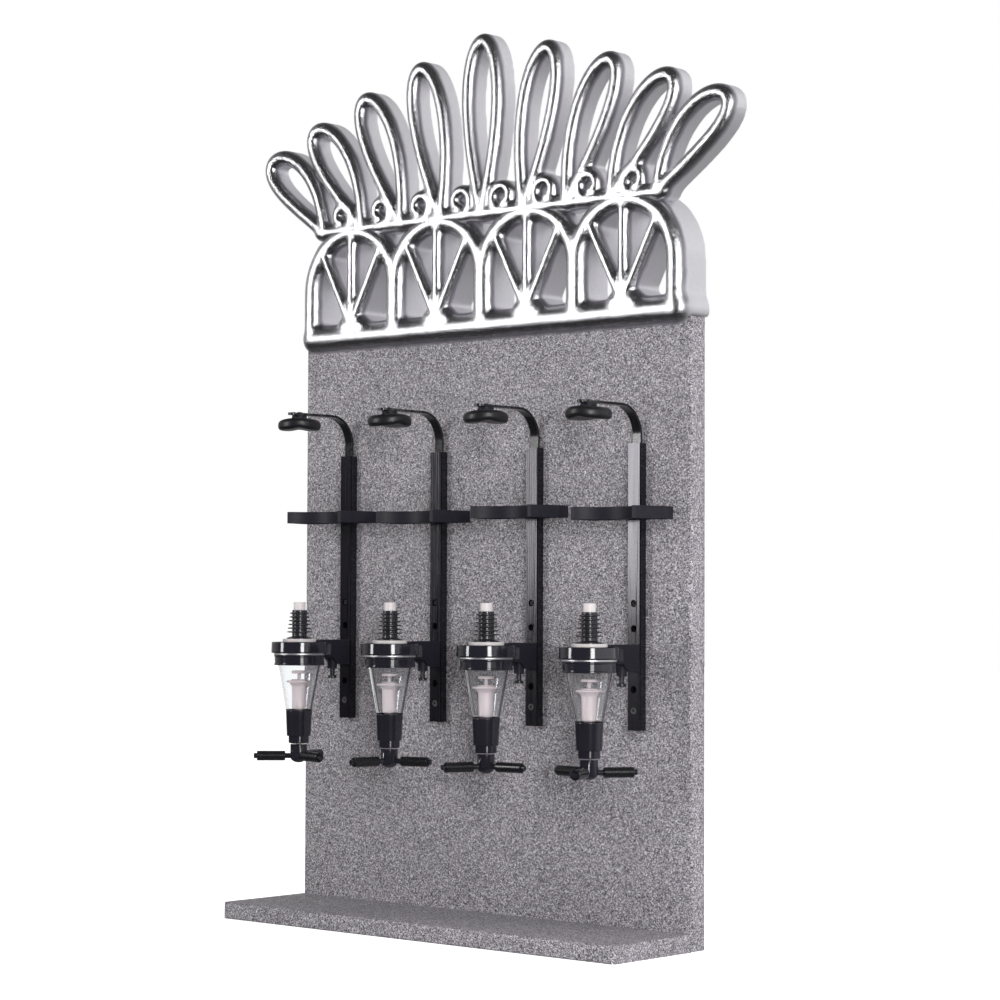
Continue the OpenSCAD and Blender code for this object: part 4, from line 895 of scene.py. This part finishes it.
# %% [markdown]
# ## Hidden steel
# Springs, screws behind the panel and the dowels under the crest are hardly seen. They keep their
# CAD shapes and get a plain zinc finish.

# %% Hidden pieces
for name, shape in NODES.items():
    if not shape.hide_render:
        shape.data.materials.clear()
        shape.data.materials.append(ZINC)
        print("zinc on", name)

# %% [markdown]
# ## Floor, world and lamps
# The stand is photographed on white. The floor and the world are white to the camera and to glossy
# and clear surfaces behind the stand, while the studio in front stays dark, which, with the painted
# dark rim in the casting's colour, is what draws the black bands on the polished casting. In mirrors
# the floor in front is a painted dark reflection: for glossy rays its colour runs from near black in
# front to mid grey behind, while its own colour is pale. Two large soft lamps stand at the left and
# at the camera's side.

# %% Floor
FLOOR_HALF = 9000.0


def floor():
    """A wide flat sheet under the stand whose own colour is lifted to white for the camera; in mirrors its
    colour is painted dark in front of the stand, a painted reflection.
    """
    corners = np.array([[-1, -1, 0], [1, -1, 0], [1, 1, 0], [-1, 1, 0]]) * FLOOR_HALF
    mesh = new_mesh("floor", corners, np.array([[0, 1, 2, 3]]), weld=0)
    sheet = bpy.data.objects.new("floor", mesh)
    bpy.context.scene.collection.objects.link(sheet)
    material, tree, unused = new_material("white_floor_with_painted_reflection")
    tree.nodes.remove(unused)
    rays = tree.nodes.new("ShaderNodeLightPath").outputs
    seen = maths(tree, "MAXIMUM", rays["Is Camera Ray"], rays["Is Transmission Ray"])
    lift = node(tree, "Emission", Color=(1, 1, 1, 1), Strength=maths(tree, "MULTIPLY", seen, 0.76))
    # For glossy rays the floor is painted near black in front and mid grey behind: a painted dark
    # reflection; its own colour stays pale.
    in_mirrors = spread(tree, xyz(tree, object_place(tree))["Y"], -0.1, 0.9, 0.03, 0.6)
    tone = mix(tree, rays["Is Glossy Ray"], 0.82, in_mirrors, kind="FLOAT")
    matt = node(tree, "BsdfDiffuse", Color=grey(tree, tone))
    both = feed_in_order(tree, tree.nodes.new("ShaderNodeAddShader"), (matt.outputs[0], lift.outputs[0]))
    link(tree, both, tree.nodes["Material Output"].inputs["Surface"])
    mesh.materials.append(material)


floor()
print("floor", 2 * FLOOR_HALF * MM, "m wide")


# %% World
def studio_world(plain, wing, ceiling, backdrop, left, dark):
    """White to the camera; in mirrors pale behind and at the sides and dark in front. Matt surfaces get
    a little light from everywhere, and more from a white wing at the right and from the ceiling."""
    world = bpy.data.worlds.new("studio")
    bpy.context.scene.world = world
    world.use_nodes = True
    tree = world.node_tree
    way = xyz(tree, tree.nodes.new("ShaderNodeTexCoord").outputs["Generated"])
    left_side = spread(tree, way["X"], -0.7, -0.95, dark, left)
    right_side = spread(tree, way["X"], 0.72, 0.95, 0.0, backdrop)
    behind = spread(tree, way["X"], -0.3, 0.4, backdrop, backdrop * 1.5)
    in_mirrors = spread(tree, way["Y"], 0.2, 0.9, maths(tree, "ADD", left_side, right_side), behind)
    from_right = spread(tree, way["X"], 0.5, 0.8, plain, wing)
    from_above = spread(tree, way["Z"], 0.75, 0.95, 0.0, ceiling)
    rays = tree.nodes.new("ShaderNodeLightPath").outputs
    mirrored = maths(tree, "MAXIMUM", rays["Is Glossy Ray"], rays["Is Transmission Ray"])
    room = mix(tree, mirrored, maths(tree, "ADD", from_right, from_above), in_mirrors, kind="FLOAT")
    put(tree, tree.nodes["Background"], Color=(1, 1, 1, 1),
        Strength=mix(tree, rays["Is Camera Ray"], room, 1.0, kind="FLOAT"))


studio_world(plain=0.08, wing=1.8, ceiling=1.2, backdrop=0.8, left=0.42, dark=0.03)
print("world", bpy.context.scene.world.name)


# %% Lamps
LAMP_DISTANCE = 2.2
LAMP_TARGET = np.array([0, 0, 0.45])


def softbox(name, azimuth, elevation, width, height, power):
    """An area lamp round the stand that faces it; azimuth 0 is in front, and plus is to the right."""
    a, e = math.radians(azimuth), math.radians(elevation)
    out = np.array([math.sin(a) * math.cos(e), -math.cos(a) * math.cos(e), math.sin(e)])
    right = np.array([math.cos(a), math.sin(a), 0.0])
    columns = np.eye(4)
    columns[:3, 0], columns[:3, 1], columns[:3, 2] = right, np.cross(out, right), out
    columns[:3, 3] = LAMP_TARGET + out * LAMP_DISTANCE
    lamp = bpy.data.lights.new(name, "AREA")
    lamp.shape, lamp.size, lamp.size_y, lamp.energy = "RECTANGLE", width, height, power
    holder = bpy.data.objects.new(name, lamp)
    holder.matrix_world = Matrix(columns.tolist())
    bpy.context.scene.collection.objects.link(holder)


# The two front boxes end just above the height of the measures; a dim skirt hangs below the right one.
softbox("left_box", azimuth=-34, elevation=9.0, width=0.46, height=0.95, power=15.5)
softbox("right_box", azimuth=55, elevation=7.9, width=0.52, height=0.85, power=20.5)
softbox("right_skirt", azimuth=55, elevation=-6.5, width=0.50, height=0.30, power=2.7)
bpy.context.scene.view_settings.view_transform = "Standard"
print("lamps", len(bpy.data.lights))
